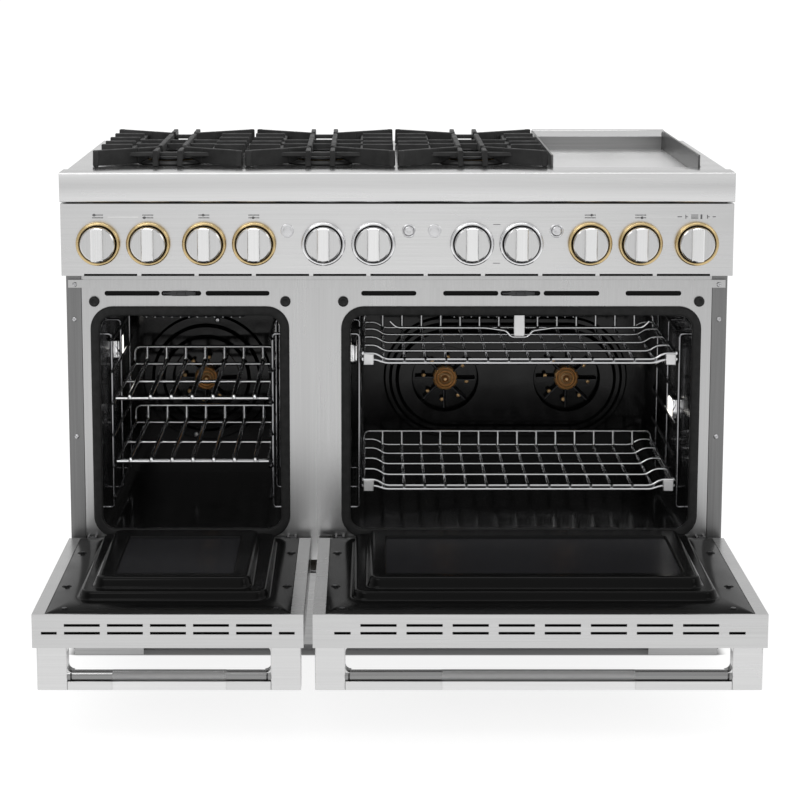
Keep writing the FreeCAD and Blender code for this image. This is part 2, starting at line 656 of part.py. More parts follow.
def griddle():
    """A thick plate in a three-sided splash wall, open at the front over a grease trough."""
    span = ("griddle_a", "griddle_b")
    depth = ("griddle_front", "griddle_rear")
    block = box(span, depth, ("griddle_plate - plate_thick", "griddle_top"))
    tray = box(("griddle_a + griddle_wall", "griddle_b - griddle_wall"),
               ("griddle_front - overcut", "griddle_rear - 8"), ("griddle_plate", "griddle_top + 9"))
    front = box(("griddle_a - overcut", "griddle_b + overcut"),
                ("griddle_front - overcut", "griddle_front + 14"),
                ("cook_height", "griddle_top + 9"))
    trough = box(("griddle_a + 18", "griddle_b - 18"), ("griddle_front + 6",
                 "griddle_front + 28"), ("griddle_plate - 7", "griddle_plate + overcut"))
    lip = box(span, ("griddle_rear - 14", "griddle_rear"), ("griddle_top", "griddle_top + 3"))
    sub_part("griddle", fuse(cut(block, group(tray, front), trough), lip))


def burners():
    heads, caps = [], []
    base = "cook_height - 6"
    for index in MODULES:
        across = module_across(index)
        for row in ("burner_front", "burner_rear"):
            heads.append(fuse(rod("z", (across, row), (base, "burner_top"), "deck_hole - overcut"),
                              rod("z", (across, row), ("cook_height + overcut", "burner_top"),
                                  "burner_radius")))
            caps.append(fuse(rod("z", (across, row), ("burner_top", "burner_top + cap_high"),
                                 "cap_radius - 4"),
                             rod("z", (across, row),
                                 ("burner_top + cap_edge", "burner_top + cap_high - cap_edge"),
                                 "cap_radius")))
    sub_part("burner_heads", group(*heads))
    sub_part("burner_caps", group(*caps))


def slanted(start, end, z_span, thick):
    """An upright plate from one (x, y) point to another; all numbers."""
    run = math.hypot(end[0] - start[0], end[1] - start[1])
    plate = doc.addObject("Part::Box", "Plate")
    plate.Length, plate.Width, plate.Height = run, thick, z_span[1] - z_span[0]
    turn = FreeCAD.Rotation(FreeCAD.Vector(0, 0, 1),
                            math.degrees(math.atan2(end[1] - start[1], end[0] - start[0])))
    corner = FreeCAD.Vector(start[0], start[1], z_span[0]) - turn.multVec(
        FreeCAD.Vector(0, thick / 2, 0))
    plate.Placement = FreeCAD.Placement(corner, turn)
    return plate


def grates():
    """Cast grates: corner plates that slant to the burners, rails between them, short fingers."""
    top, foot, deep = mm("grate_top"), mm("cook_height"), mm("bar_deep")
    front, rear, half = mm("grate_front"), mm("grate_rear"), mm("grate_half")
    rail, web = 22.0, 78.0
    for index in MODULES:
        across = module_across(index)
        bars = []
        for side in (-1, 1):
            ends = ((front + 4, mm("burner_front") - 8), (rear - 4, mm("burner_rear") + 8))
            for corner, burner in ends:
                bars.append(slanted((across + side * (half - 3), corner),
                                    (across + side * rail, burner), (top - deep, top), 9.0))
                bars.append(box((across + side * half - 5, across + side * half + 5),
                                (corner - 5, corner + 5), (foot, top)))
            low, high = sorted((side * (rail - 4), side * (rail + 4)))
            bars.append(box((across + low, across + high), (front, front + 62),
                            (top - 13, top)))
            bars.append(box((across + low, across + high), (front, front + 9), (foot, top)))
            bars.append(box((across + low, across + high), (rear - 62, rear), (top - 13, top)))
            bars.append(box((across + low, across + high), (rear - 9, rear), (foot, top)))
            bars.append(box((across + low, across + high),
                            (mm("burner_front") + 18, mm("burner_rear") - 18),
                            (top - deep, top)))
            low, high = sorted((side * (web - 4.5), side * (web + 4.5)))
            bars.append(box((across + low, across + high), (front + 44, rear - 44),
                            (top - deep, top - 1)))
            for depth in FINGERS:
                low, high = sorted((side * web, side * (half - 1)))
                bars.append(box((across + low, across + high), (depth - 4.5, depth + 4.5),
                                (top - deep, top)))
        for depth in BRIDGES:
            bars.append(box((across - web, across + web), (depth - 4, depth + 4),
                            (top - deep, top - 5)))
        for depth in (front, rear - 9):
            bars.append(box((across - rail, across + rail), (depth, depth + 9),
                            (foot + 4, foot + 12)))
        for low_y, high_y in ((front + 40, front + 56), (rear - 56, rear - 40)):
            bars.append(box((across - web, across + web), (low_y, high_y),
                            (top - deep, top - 8)))
        sub_part("grate_%s" % ("left", "middle", "right")[index], fuse(*bars))


def gas_manifold():
    """The supply pipe, eleven valves with their stems, and the rear inlet with its thread."""
    pieces = [rod("x", ("frame_front + 22", "knob_height"), ("-570", "570"), "supply_radius")]
    for across in KNOBS_ACROSS:
        pieces.append(fuse(
            rod("y", (across, "knob_height"), ("panel_face + 12", "frame_front + 13"),
                "valve_radius"),
            rod("y", (across, "knob_height"), ("stem_tip", "panel_face + 12.5"), "stem")))
    bend = "frame_front + riser_back"
    pieces.append(fuse(
        rod("y", ("inlet_across", "inlet_height"), (bend, "case_back - thread_long"),
            "pipe_radius"),
        rod("z", ("inlet_across", bend), ("inlet_height", "inlet_top"), "pipe_radius"),
        rod("y", ("inlet_across", "inlet_height"), ("case_back - thread_long", "case_back"),
            "thread_radius")))
    sub_part("gas_manifold", group(*pieces))


# ---------------------------------------------------------------- doors
def door(side):
    start, end = "door_%s_a" % side, "door_%s_b" % side
    hinges = HINGES[side]
    window = WINDOWS[side]
    border = "door_border"
    notches = [("%s - notch_half" % x, "%s + notch_half" % x) for x in hinges]

    shell = box((start, end), ("door_tip", "door_heel"), ("door_outer", "door_inner"))
    hollow = box((start + " + sheet_steel", end + " - sheet_steel"),
                 ("door_tip + sheet_steel", "door_heel - sheet_steel"),
                 ("door_outer + sheet_steel", "door_inner - sheet_steel"))
    mouth = box((start + " + " + border, end + " - " + border),
                ("liner_tip", "door_heel + overcut"),
                ("heel_top", "door_inner + overcut"))
    heel = box((start + " - overcut", end + " + overcut"), ("liner_heel", "door_heel + overcut"),
               ("heel_top", "door_inner + overcut"))
    openings = []
    for low, high in notches:
        openings.append(box((low, high), ("door_heel - 14", "door_heel + overcut"),
                            ("pivot_height - 14", "heel_top + sheet_steel")))
    openings.append(box(window, ("window_tip", "window_heel"),
                        ("door_outer - overcut", "door_outer + 5")))
    count, first, length, pitch = DOOR_SLOTS[side]
    rows = []
    for step in range(count):
        for height in ("slot_upper", "slot_lower"):
            rows.append(((first + step * pitch, first + step * pitch + length), height))
    rows += [(span, "slot_lower") for span in END_SLOTS[side]]
    for span, height in rows:
        openings.append(box(span, ("door_tip - overcut", "door_tip + 4"),
                            (height + " - slot_high / 2", height + " + slot_high / 2")))
    sub_part("door_%s_skin" % side, cut(cut(shell, fuse(hollow, mouth, heel)), *openings))

    low, high = start + " + " + border + " + slack", end + " - " + border + " - slack"
    top = "door_inner"
    step_in, raised_in = STEPS[side], RAISED[side]
    base = box((low, high), ("liner_tip + slack", "liner_heel"), ("door_inner - liner_edge", top))
    step = soften(box(step_in, ("step_tip", "step_heel"), ("door_inner - liner_edge",
                                                           top + " + step_high")), "z", 22.0)
    raised = soften(box(raised_in, ("raised_tip", "raised_heel"),
                        ("door_inner - liner_edge", top + " + raised_high")), "z", 20.0)
    under_step = box(("%s + liner_wall" % step_in[0], "%s - liner_wall" % step_in[1]),
                     ("step_tip + liner_wall", "step_heel - liner_wall"), ("door_inner - 9",
                                                         top + " + step_high - liner_wall"))
    under_raised = box(("%s + liner_wall" % raised_in[0], "%s - liner_wall" % raised_in[1]),
                       ("raised_tip + liner_wall", "raised_heel - liner_wall"),
                       ("door_inner - 9", top + " + raised_high - liner_wall"))
    opening = soften(box(window, ("window_tip", "window_heel"),
                         (top + " + 20", top + " + raised_high + 3")), "z", 8.0)
    under = fuse(soften(under_step, "z", 19.0), soften(under_raised, "z", 17.0))
    liner = cut(cut(fuse(base, step, raised), under), opening)
    sub_part("door_%s_liner" % side, liner)

    grown = ("%s - 8" % window[0], "%s + 8" % window[1])
    inner = box(grown, ("window_tip - 8", "window_heel + 8"),
                (top + " + raised_high - 3.2 - glass", top + " + raised_high - 3.2"))
    outer = box(grown, ("window_tip - 8", "window_heel + 8"),
                ("door_outer + pane_seat", "door_outer + pane_seat + glass"))
    sub_part("door_%s_glass" % side, group(inner, outer))

    handle(side, start, end)
    door_hinges(side, hinges)


def handle(side, start, end):
    """A square-cornered pull: two arms off the door's outer face and a bar between them."""
    low = "%s + 6" % start if side == "left" else "%s + 3.5" % start
    high = "%s - 4.5" % end if side == "left" else "%s - 6" % end
    depth = ("handle_tip", "handle_tip + handle_deep")
    arm_span = ("handle_out", "door_outer - 0.1")
    arms = [box((low, low + " + arm_wide"), depth, arm_span),
            box((high + " - arm_wide", high), depth, arm_span)]
    bar = box((low + " + arm_wide - overcut", high + " - arm_wide + overcut"), depth,
              ("handle_out", "handle_out + bar_thick"))
    rounded = soften(bar, "x", mm("bar_round"), edges=(10, 12))
    soft_arms = [soften(arm, "z", 3.0) for arm in arms]
    sub_part("door_%s_handle" % side, fuse(rounded, *soft_arms))


def door_hinges(side, hinges):
    """Each hinge arm turns on a pin of the frame and runs into the door beside its screws."""
    pieces = []
    for across in hinges:
        span = ("%s - arm_half" % across, "%s + arm_half" % across)
        arm = box(span, ("pivot_fore - arm_reach", "pivot_fore"),
                  ("pivot_height - 8.5", "pivot_height + 2.5"))
        eye = rod("x", ("pivot_fore", "pivot_height"), span, "eye_radius - 0.5")
        hole = rod("x", ("pivot_fore", "pivot_height"),
                   ("%s - 9" % across, "%s + 9" % across), "hinge_pin + running_fit")
        pieces.append(cut(fuse(arm, eye), hole))
    columns = (("%s_in - gasket_wide" % side, 1), ("%s_out + gasket_wide" % side, -1))
    for seal, inward in columns:
        for depth, shift in ((-200, -6.5), (-414, -6.5), (-547, 7.0)):
            pieces.append(rod("z", ("%s + %s" % (seal, inward * shift), depth),
                              ("door_inner", "door_inner + 2.6"), "4.5"))
    sub_part("door_%s_hinges" % side, group(*pieces))


# ---------------------------------------------------------------- build, check, write
def build():
    chassis_base()
    kick_panel()
    side_panels()
    back_panel()
    rear_trim()
    front_frame()
    gaskets()
    bumpers()
    frame_screws()
    hinge_and_latch_seats()
    front_rail()
    control_panel()
    bezels()
    knobs()
    buttons_and_lenses()
    oven_liners()
    oven_insulation()
    fan_baffles()
    fans()
    rack_guides()
    racks()
    oven_burners()
    oven_lamps()
    cooktop_deck()
    griddle()
    burners()
    grates()
    gas_manifold()
    for side in ("left", "right"):
        door(side)
    doc.recompute()


def check_and_write():
    for thing in doc.Objects:
        if "Invalid" in thing.State or "Error" in thing.State:
            raise RuntimeError("%s (%s) did not compute: %s" % (thing.Name, thing.Label,
                                                               thing.State))
    for name, thing in sub_parts.items():
        if thing.Shape.isNull() or not thing.Shape.isValid():
            raise RuntimeError("%s has no valid shape" % name)
    os.makedirs("parts", exist_ok=True)
    for name, thing in sub_parts.items():
        thing.Shape.exportStep(os.path.join("parts", name + ".step"))
        print("%-24s %2d solids  %9.1f cm3" % (name, len(thing.Shape.Solids),
                                              thing.Shape.Volume / 1000))
    print(len(sub_parts), "sub-parts")


build()
check_and_write()
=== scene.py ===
import math

import bmesh
import bpy
from mathutils import Matrix, Vector


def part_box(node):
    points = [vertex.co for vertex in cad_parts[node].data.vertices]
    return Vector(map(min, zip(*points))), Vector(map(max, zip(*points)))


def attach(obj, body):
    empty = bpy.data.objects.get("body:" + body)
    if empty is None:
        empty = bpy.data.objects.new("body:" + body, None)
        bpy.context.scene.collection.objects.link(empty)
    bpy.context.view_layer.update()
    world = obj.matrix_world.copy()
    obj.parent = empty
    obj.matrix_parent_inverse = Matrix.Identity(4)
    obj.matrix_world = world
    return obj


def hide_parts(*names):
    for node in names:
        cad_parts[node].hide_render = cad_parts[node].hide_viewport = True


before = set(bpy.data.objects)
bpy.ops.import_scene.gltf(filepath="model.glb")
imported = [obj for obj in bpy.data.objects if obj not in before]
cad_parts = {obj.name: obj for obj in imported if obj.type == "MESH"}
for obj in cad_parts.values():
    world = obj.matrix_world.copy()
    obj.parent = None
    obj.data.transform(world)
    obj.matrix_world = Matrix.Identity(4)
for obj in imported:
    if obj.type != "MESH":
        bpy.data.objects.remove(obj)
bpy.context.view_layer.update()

# Places are in metres. Radii, widths and profiles are in millimetres.
MM = 0.001


# --- materials
def paint(name, colour, metallic=0.0, roughness=0.5, **sockets):
    """A Principled material; further sockets are constants set on the shader itself."""
    material = bpy.data.materials.new(name)
    material.use_nodes = True
    shader = material.node_tree.nodes["Principled BSDF"]
    shader.inputs["Base Color"].default_value = (*colour, 1)
    shader.inputs["Metallic"].default_value = metallic
    shader.inputs["Roughness"].default_value = roughness
    for socket, value in sockets.items():
        shader.inputs[socket.replace("_", " ")].default_value = value
    return material


def add(owner, kind, **inputs):
    """Add a shader node of one kind; each input is a constant or the socket that feeds it."""
    node = owner.node_tree.nodes.new("ShaderNode" + kind)
    for name, value in inputs.items():
        socket = node.inputs[name.replace("_", " ")]
        if isinstance(value, bpy.types.NodeSocket):
            owner.node_tree.links.new(value, socket)
        else:
            socket.default_value = value
    return node


def feed(material, name, value):
    """Let a socket drive one input of the material's shader."""
    shader = material.node_tree.nodes["Principled BSDF"]
    material.node_tree.links.new(value, shader.inputs[name])


def grain(material, scale, stretch=(1, 1, 1), detail=3.0, kind="TexNoise"):
    """A noise in the piece's own metres, stretched along some axes; returns its value socket."""
    place = add(material, "TexCoord").outputs["Object"]
    place = add(material, "Mapping", Vector=place, Scale=stretch).outputs["Vector"]
    texture = add(material, kind, Vector=place, Scale=scale, Detail=detail)
    return texture.outputs["Fac" if kind == "TexNoise" else "Distance"]


def tint(material, value, dark, light, start=0.3, end=0.7):
    """Colour the material between two colours along a noise value."""
    ramp = add(material, "ValToRGB", Fac=value)
    for element, position, colour in zip(ramp.color_ramp.elements, (start, end), (dark, light)):
        element.position = position
        element.color = (*colour, 1)
    feed(material, "Base Color", ramp.outputs["Color"])


def roughen(material, value, low, high, start=0.3, end=0.7):
    """Let the roughness run from low to high along a noise value."""
    spread = add(material, "MapRange", Value=value, From_Min=start, From_Max=end, To_Min=low,
                 To_Max=high)
    feed(material, "Roughness", spread.outputs["Result"])


def bump(material, value, strength, distance):
    """Raise the surface along a noise value; calls add up."""
    raised = add(material, "Bump", Height=value, Strength=strength, Distance=distance)
    normal = material.node_tree.nodes["Principled BSDF"].inputs["Normal"]
    if normal.is_linked:
        material.node_tree.links.new(normal.links[0].from_socket, raised.inputs["Normal"])
    feed(material, "Normal", raised.outputs["Normal"])


def brushed(name, along, colour, roughness, streak):
    """Stainless steel with hairlines along one axis."""
    stretch = [520.0 if axis != along else 5.0 for axis in "xyz"]
    light, dark = (colour + streak,) * 3, (colour - streak,) * 3
    steel = paint(name, light, 1.0, roughness)
    fine = grain(steel, 1.0, stretch, 2.0)
    tint(steel, fine, dark, light)
    broad = grain(steel, 1.0, [value * 0.02 + 1 for value in stretch], 3.0)
    roughen(steel, broad, roughness - 0.04, roughness + 0.05)
    bump(steel, fine, 0.05, 0.0001)
    return steel


def enamel(name, colour, roughness, gloss):
    """Glossy porcelain enamel: deep black, faint orange peel and very fine flecks."""
    glaze = paint(name, (colour,) * 3, 0.0, roughness, Specular_IOR_Level=gloss)
    fleck = grain(glaze, 1400.0, kind="TexVoronoi")
    tint(glaze, fleck, (colour * 5,) * 3, (colour,) * 3, 0.05, 0.12)
    roughen(glaze, grain(glaze, 22.0), roughness - 0.03, roughness + 0.06)
    bump(glaze, grain(glaze, 260.0, detail=1.0), 0.05, 0.0005)
    return glaze


def cast(name, colour):
    """Matt enamel over sand-cast iron."""
    iron = paint(name, (colour,) * 3, 0.0, 0.5, Specular_IOR_Level=0.3)
    tint(iron, grain(iron, 35.0, detail=5.0), (colour * 0.8,) * 3, (colour * 1.7,) * 3)
    roughen(iron, grain(iron, 60.0), 0.42, 0.66)
    bump(iron, grain(iron, 900.0, detail=3.0), 0.35, 0.0006)
    bump(iron, grain(iron, 120.0, detail=2.0), 0.25, 0.0012)
    return iron


def plated(name, colour, roughness, metal=1.0):
    """Polished or satin plate with faint smears."""
    plate = paint(name, colour, metal, roughness)
    tint(plate, grain(plate, 18.0, detail=4.0), tuple(c * 0.93 for c in colour), colour)
    roughen(plate, grain(plate, 40.0, detail=4.0), roughness * 0.75, roughness * 1.35)
    return plate


BRUSHED = {      # hairlines along, brightness, roughness, contrast of the hairlines
    "panel_steel": ("x", 0.62, 0.26, 0.018),
    "rail_steel": ("x", 0.62, 0.26, 0.015),
    # case_steel is far darker than the front's steel: painted shade on the narrow side stiles.
    "case_steel": ("z", 0.20, 0.36, 0.015),
    "frame_steel": ("z", 0.49, 0.28, 0.015),
    "door_steel": ("x", 0.52, 0.27, 0.02),
    # kick_steel is darker than the front's other steel: painted shade for the kick panel under
    # the doors.
    "kick_steel": ("x", 0.36, 0.30, 0.03),
    "deck_steel": ("x", 0.56, 0.17, 0.02),
    "handle_steel": ("x", 0.72, 0.24, 0.03),
    "handle_arm": ("x", 0.60, 0.30, 0.02),
    # handle_bar is a dark copy of the handle's steel: painted dark reflection along the round
    # bar.
    "handle_bar": ("x", 0.24, 0.13, 0.01),
    "grip_flat": ("x", 0.68, 0.34, 0.02),
    "knob_steel": ("z", 0.58, 0.24, 0.02),
    # grip_steel is a brighter copy of knob_steel: painted highlight on the knobs' grip bars.
    "grip_steel": ("z", 0.76, 0.24, 0.02),
    "griddle": ("y", 0.80, 0.34, 0.02),
    "guard_steel": ("x", 0.26, 0.32, 0.02),
    # guard_dark is a darker copy of the guard's steel: painted shade on the guard's inner sides.
    "guard_dark": ("y", 0.13, 0.34, 0.01),
}
PLATED = {       # colour, roughness, and how metallic where it isn't bare metal
    "base_steel": ((0.25, 0.25, 0.26), 0.45),
    "base_paint": ((0.30, 0.30, 0.305), 0.5, 0.2),
    "chrome": ((0.78, 0.78, 0.79), 0.09),
    "wire": ((0.62, 0.62, 0.63), 0.15),
    "guide_wire": ((0.30, 0.30, 0.31), 0.16),
    "satin": ((0.66, 0.66, 0.66), 0.34),
    "brass": ((0.63, 0.48, 0.25), 0.22),
    "burner_brass": ((0.34, 0.24, 0.11), 0.35),
    "fan_brass": ((0.78, 0.50, 0.24), 0.42, 0.75),
    "dark_metal": ((0.05, 0.05, 0.052), 0.3, 0.8),
    "screw": ((0.50, 0.50, 0.51), 0.25),
    "lens": ((0.62, 0.62, 0.63), 0.20, 0.9),
    "wool": ((0.62, 0.58, 0.46), 0.9, 0.0),
}
PAINTED = {      # colour, metallic, roughness, specular level
    "rubber": ((0.010, 0.010, 0.010), 0.0, 0.45, 0.25),
    "gasket": ((0.016, 0.016, 0.017), 0.0, 0.8, 0.2),
    "glass": ((0.010, 0.010, 0.011), 0.0, 0.22, 0.09),
    # well: near-black; in the knob gaps, the dashes on the panel and behind the frame's lower
    # slots it is painted shade; elsewhere it marks dimples, slots and a seam.
    "well": ((0.006, 0.006, 0.006), 0.0, 0.6, 0.08),
    "mark": ((0.10, 0.10, 0.105), 0.0, 0.6, 0.5),
    "faint_mark": ((0.13, 0.13, 0.135), 0.0, 0.6, 0.5),
    "light_mark": ((0.80, 0.80, 0.80), 0.2, 0.4, 0.5),
    "handle_seam": ((0.30, 0.30, 0.30), 0.6, 0.5, 0.5),
    # knurl is darkened with the bar: painted dark reflection on the knurled grip, over its real
    # pattern.
    "knurl": ((0.36, 0.36, 0.36), 1.0, 0.22, 0.5),
}
M = {name: brushed(name, *look) for name, look in BRUSHED.items()}
M.update({name: plated(name, *look) for name, look in PLATED.items()})
M.update({name: paint(name, *look[:3], Specular_IOR_Level=look[3])
          for name, look in PAINTED.items()})
M.update({
    "oven_enamel": enamel("oven_enamel", 0.006, 0.12, 0.25),
    "door_enamel": enamel("door_enamel", 0.003, 0.18, 0.07),
    "iron": cast("iron", 0.014),
    "lamp": paint("lamp", (0.9, 0.9, 0.88), 0.0, 0.15, Emission_Color=(1, 0.97, 0.9, 1),
                  Emission_Strength=2.0),
})
bump(M["wool"], grain(M["wool"], 300.0, (1, 1, 6)), 0.8, 0.002)
bump(M["rubber"], grain(M["rubber"], 500.0), 0.3, 0.0005)
roughen(M["glass"], grain(M["glass"], 14.0), 0.20, 0.26)
bump(M["gasket"], grain(M["gasket"], 700.0), 0.5, 0.0008)
tint(M["gasket"], grain(M["gasket"], 90.0), (0.012,) * 3, (0.020,) * 3)


def knurling():
    """Crossed fine waves raise a diamond pattern on the grips."""
    place = add(M["knurl"], "TexCoord").outputs["Object"]
    for turn in (45, -45):
        turned_place = add(M["knurl"], "Mapping", Vector=place,
                           Rotation=(0, math.radians(turn), 0)).outputs["Vector"]
        wave = add(M["knurl"], "TexWave", Vector=turned_place, Scale=110.0)
        bump(M["knurl"], wave.outputs["Fac"], 0.7, 0.0012)


# --- mesh helpers
def bevel(thing, width, segments=2, angle=35.0):
    """Soften the edges of a piece or a CAD node with a modifier."""
    edges = thing.modifiers.new("soft edges", "BEVEL")
    edges.width = width * MM
    edges.segments = segments
    edges.limit_method = "ANGLE"
    edges.angle_limit = math.radians(angle)
    edges.harden_normals = False


def show(name, data):
    """A new object in the scene."""
    thing = bpy.data.objects.new(name, data)
    bpy.context.scene.collection.objects.link(thing)
    return thing


def place_piece(thing, body, stands_for):
    """Put a piece on its body, and hide the CAD node that it stands for."""
    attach(thing, body)
    if stands_for:
        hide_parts(stands_for)


def piece(name, bm, look, body="root", smooth=40.0, edge=None, stands_for=None):
    """A finished mesh. Creases sharper than smooth stay crisp; edge is what bevel takes."""
    mesh = bpy.data.meshes.new(name)
    bmesh.ops.recalc_face_normals(bm, faces=bm.faces)
    for face in bm.faces:
        face.smooth = True
    for crease in bm.edges:
        if len(crease.link_faces) == 2 and crease.calc_face_angle(0) > math.radians(smooth):
            crease.smooth = False
    bm.to_mesh(mesh)
    bm.free()
    mesh.materials.append(M[look])
    thing = show(name, mesh)
    place_piece(thing, body, stands_for)
    if edge:
        bevel(thing, *edge)


def wires(name, paths, radius, look, body="root", bend=8, stands_for=None):
    """Bent wires: each path is a list of points whose corners are rounded by short arcs."""
    data = bpy.data.curves.new(name, "CURVE")
    data.dimensions = "3D"
    data.bevel_depth = radius * MM
    data.bevel_resolution = 3
    data.use_fill_caps = True
    for path in paths:
        points = smooth_path([Vector(point) for point in path], bend * MM)
        spline = data.splines.new("POLY")
        spline.points.add(len(points) - 1)
        for target, point in zip(spline.points, points):
            target.co = (*point, 1)
        spline.use_smooth = True
    data.materials.append(M[look])
    place_piece(show(name, data), body, stands_for)


def smooth_path(points, bend, steps=5):
    """Replace each corner of a wire's path by an arc that is tangent to both runs."""
    out = [points[0]]
    for before, corner, after in zip(points, points[1:], points[2:]):
        arm = min(bend, (corner - before).length * 0.45, (after - corner).length * 0.45)
        start = corner + (before - corner).normalized() * arm
        end = corner + (after - corner).normalized() * arm
        for k in range(steps + 1):
            t = k / steps
            out.append(start * (1 - t) ** 2 + corner * (2 * t * (1 - t)) + end * t ** 2)
    return out + [points[-1]]


AXES = {"x": Vector((1, 0, 0)), "y": Vector((0, 1, 0)), "z": Vector((0, 0, 1))}


def turned(bm, centre, axis, profile, segments=72):
    """Add a turned form; its profile lists (distance along the axis, radius) in mm."""
    across = AXES["x"] if axis != "x" else AXES["y"]
    other = AXES[axis].cross(across)
    rings = []
    for along, radius in profile:
        base = centre + AXES[axis] * (along * MM)
        turns = [2 * math.pi * k / segments for k in range(segments if radius else 1)]
        rings.append([bm.verts.new(base + across * (radius * MM * math.cos(turn))
                                   + other * (radius * MM * math.sin(turn)))
                      for turn in turns])
    for first, second in zip(rings, rings[1:]):
        for k in range(segments):
            n = (k + 1) % segments
            quad = [first[k % len(first)], first[n % len(first)],
                    second[n % len(second)], second[k % len(second)]]
            corners = list(dict.fromkeys(quad))
            if len(corners) > 2:
                bm.faces.new(corners)
    return bm


def block(bm, low, high):
    """Add a plain block; its piece gets soft edges afterwards."""
    corners = [bm.verts.new((x, y, z)) for z in (low[2], high[2])
               for y in (low[1], high[1]) for x in (low[0], high[0])]
    for face in ((0, 2, 3, 1), (4, 5, 7, 6), (0, 1, 5, 4), (2, 6, 7, 3), (0, 4, 6, 2),
                 (1, 3, 7, 5)):
        bm.faces.new([corners[k] for k in face])
    return bm


def loft(bm, rings, closed_ends=True, loop=False):
    """Skin a list of equal-length point rings."""
    made = [[bm.verts.new(point) for point in ring] for ring in rings]
    pairs = list(zip(made, made[1:]))
    if loop:
        pairs.append((made[-1], made[0]))
    for first, second in pairs:
        count = len(first)
        for k in range(count):
            n = (k + 1) % count
            bm.faces.new((first[k], first[n], second[n], second[k]))
    if closed_ends and not loop:
        bm.faces.new(list(reversed(made[0])))
        bm.faces.new(made[-1])
    return bm


def folded(bm, section, start, end):
    """Add a straight length of one (y, z) section, from x = start to x = end."""
    return loft(bm, [[(x, y, z) for y, z in section] for x in (start, end)])


def round_corner_ring(low, high, radius, steps=8):
    """Points of a rounded rectangle in a plane, counter-clockwise; radius in metres."""
    points = []
    left, foot, right, top = (low[0] + radius, low[1] + radius, high[0] - radius,
                              high[1] - radius)
    for cx, cy, start in ((right, top, 0), (left, top, 90), (left, foot, 180),
                          (right, foot, 270)):
        for k in range(steps + 1):
            turn = math.radians(start + 90 * k / steps)
            points.append((cx + radius * math.cos(turn), cy + radius * math.sin(turn)))
    return points


# --- CAD nodes and their looks
KNOBS = ["knob_%02d" % number for number in range(1, 12)]
CHROME_KNOBS = KNOBS[4:8]
BUTTONS = ["push_button_left", "push_button_right"]
FANS = ["fan_left", "fan_middle", "fan_right"]
GRATES = ["grate_left", "grate_middle", "grate_right"]
CAD_LOOKS = {
    "panel_steel": ["control_panel"],
    "rail_steel": ["front_rail"],
    "case_steel": ["side_panel_left", "side_panel_right"],
    "frame_steel": ["front_frame"],
    "kick_steel": ["kick_panel"],
    "deck_steel": ["cooktop_deck", "rear_trim"],
    "door_steel": ["door_left_skin", "door_right_skin"],
    "handle_steel": ["door_left_handle", "door_right_handle"],
    "base_steel": ["back_panel", "gas_manifold"],
    "base_paint": ["chassis_base"],
    "oven_enamel": ["oven_liners", "fan_baffles", "oven_burners"],
    "door_enamel": ["door_left_liner", "door_right_liner"],
    "glass": ["door_left_glass", "door_right_glass"],
    "griddle": ["griddle"],
    "wool": ["oven_insulation"],
    "rubber": ["oven_gaskets", "door_bumpers"],
    "screw": ["frame_screws"],
    "dark_metal": ["hinge_and_latch_seats", "door_left_hinges", "door_right_hinges"],
    "wire": ["rack_guides", "rack_left_upper", "rack_left_lower", "rack_right_upper",
             "rack_right_lower"],
    "brass": ["knob_bezels_brass", *FANS],
    "chrome": ["knob_bezels_chrome"],
    "lens": ["indicator_lenses", "oven_lamps", *BUTTONS],
    "iron": ["burner_caps", *GRATES],
    "burner_brass": ["burner_heads"],
    "knob_steel": KNOBS,
}
SHEET_METAL = ("panel_steel", "case_steel", "frame_steel", "kick_steel", "deck_steel",
               "door_steel")


def cad_nodes():
    """Give every CAD node its material, and sheet metal its soft edges."""
    for look, names in CAD_LOOKS.items():
        for name in names:
            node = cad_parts[name]
            node.data.materials.clear()
            node.data.materials.append(M[look])
            if look in SHEET_METAL:
                bevel(node, 0.7)


def centre(node):
    low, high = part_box(node)
    return (low + high) / 2


PANEL_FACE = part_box("control_panel")[0].y
SEAL_LOW, SEAL_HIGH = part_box("oven_gaskets")
SEALS = {"left": (SEAL_LOW.x, SEAL_LOW.x + 0.365),      # outer sides of the two oven seals
         "right": (SEAL_HIGH.x - 0.661, SEAL_HIGH.x)}


# --- knobs, bezels, buttons, marks
KNOB_DEPTH, GRIP_DEPTH, GRIP_HALF = 17.5, 27.4, 11.2        # mm; the depths are off the panel
BEZEL = [(0, 33.6), (0, 40), (-6, 40), (-9, 39.6), (-11, 38.6), (-11.9, 37.2), (-12, 36),
         (-11.6, 34.9), (-10.6, 34.1), (-8.5, 33.6), (0, 33.5)]
# WELL is the near-black disc behind each knob, painted shade in the gap between bezel and knob.
WELL = [(0.2, 8), (-0.6, 8), (-0.6, 33.4), (0.2, 33.4), (0.2, 8)]
BUTTON = [(12, 0), (12, 8.8), (1.6, 8.8), (0.7, 8.3), (0.2, 7.2), (0, 5.5), (0.4, 3), (0.6, 0)]
DOME = [(0, 0), (0, 12.2), (-0.8, 12.2), (-1.3, 11.4), (-1.1, 10.4), (-0.9, 9.8), (-1.3, 8),
        (-1.5, 5), (-1.5, 0)]
RING = [(0, 9.5), (0, 12.4), (-0.9, 12.4), (-1.5, 11.6), (-1.5, 10.6), (-0.8, 9.5), (0, 9.5)]


def grip_outline(half_width, radius, steps=10):
    """The grip bar seen from the front: a strip cut off by the knob's own circle."""
    reach = math.sqrt(radius ** 2 - half_width ** 2)
    spread_angle = math.atan2(half_width, reach)
    points = []
    for top in (1, -1):
        for k in range(steps + 1):
            turn = spread_angle * (1 - 2 * k / steps)
            points.append((top * radius * math.sin(turn), top * radius * math.cos(turn)))
    return points


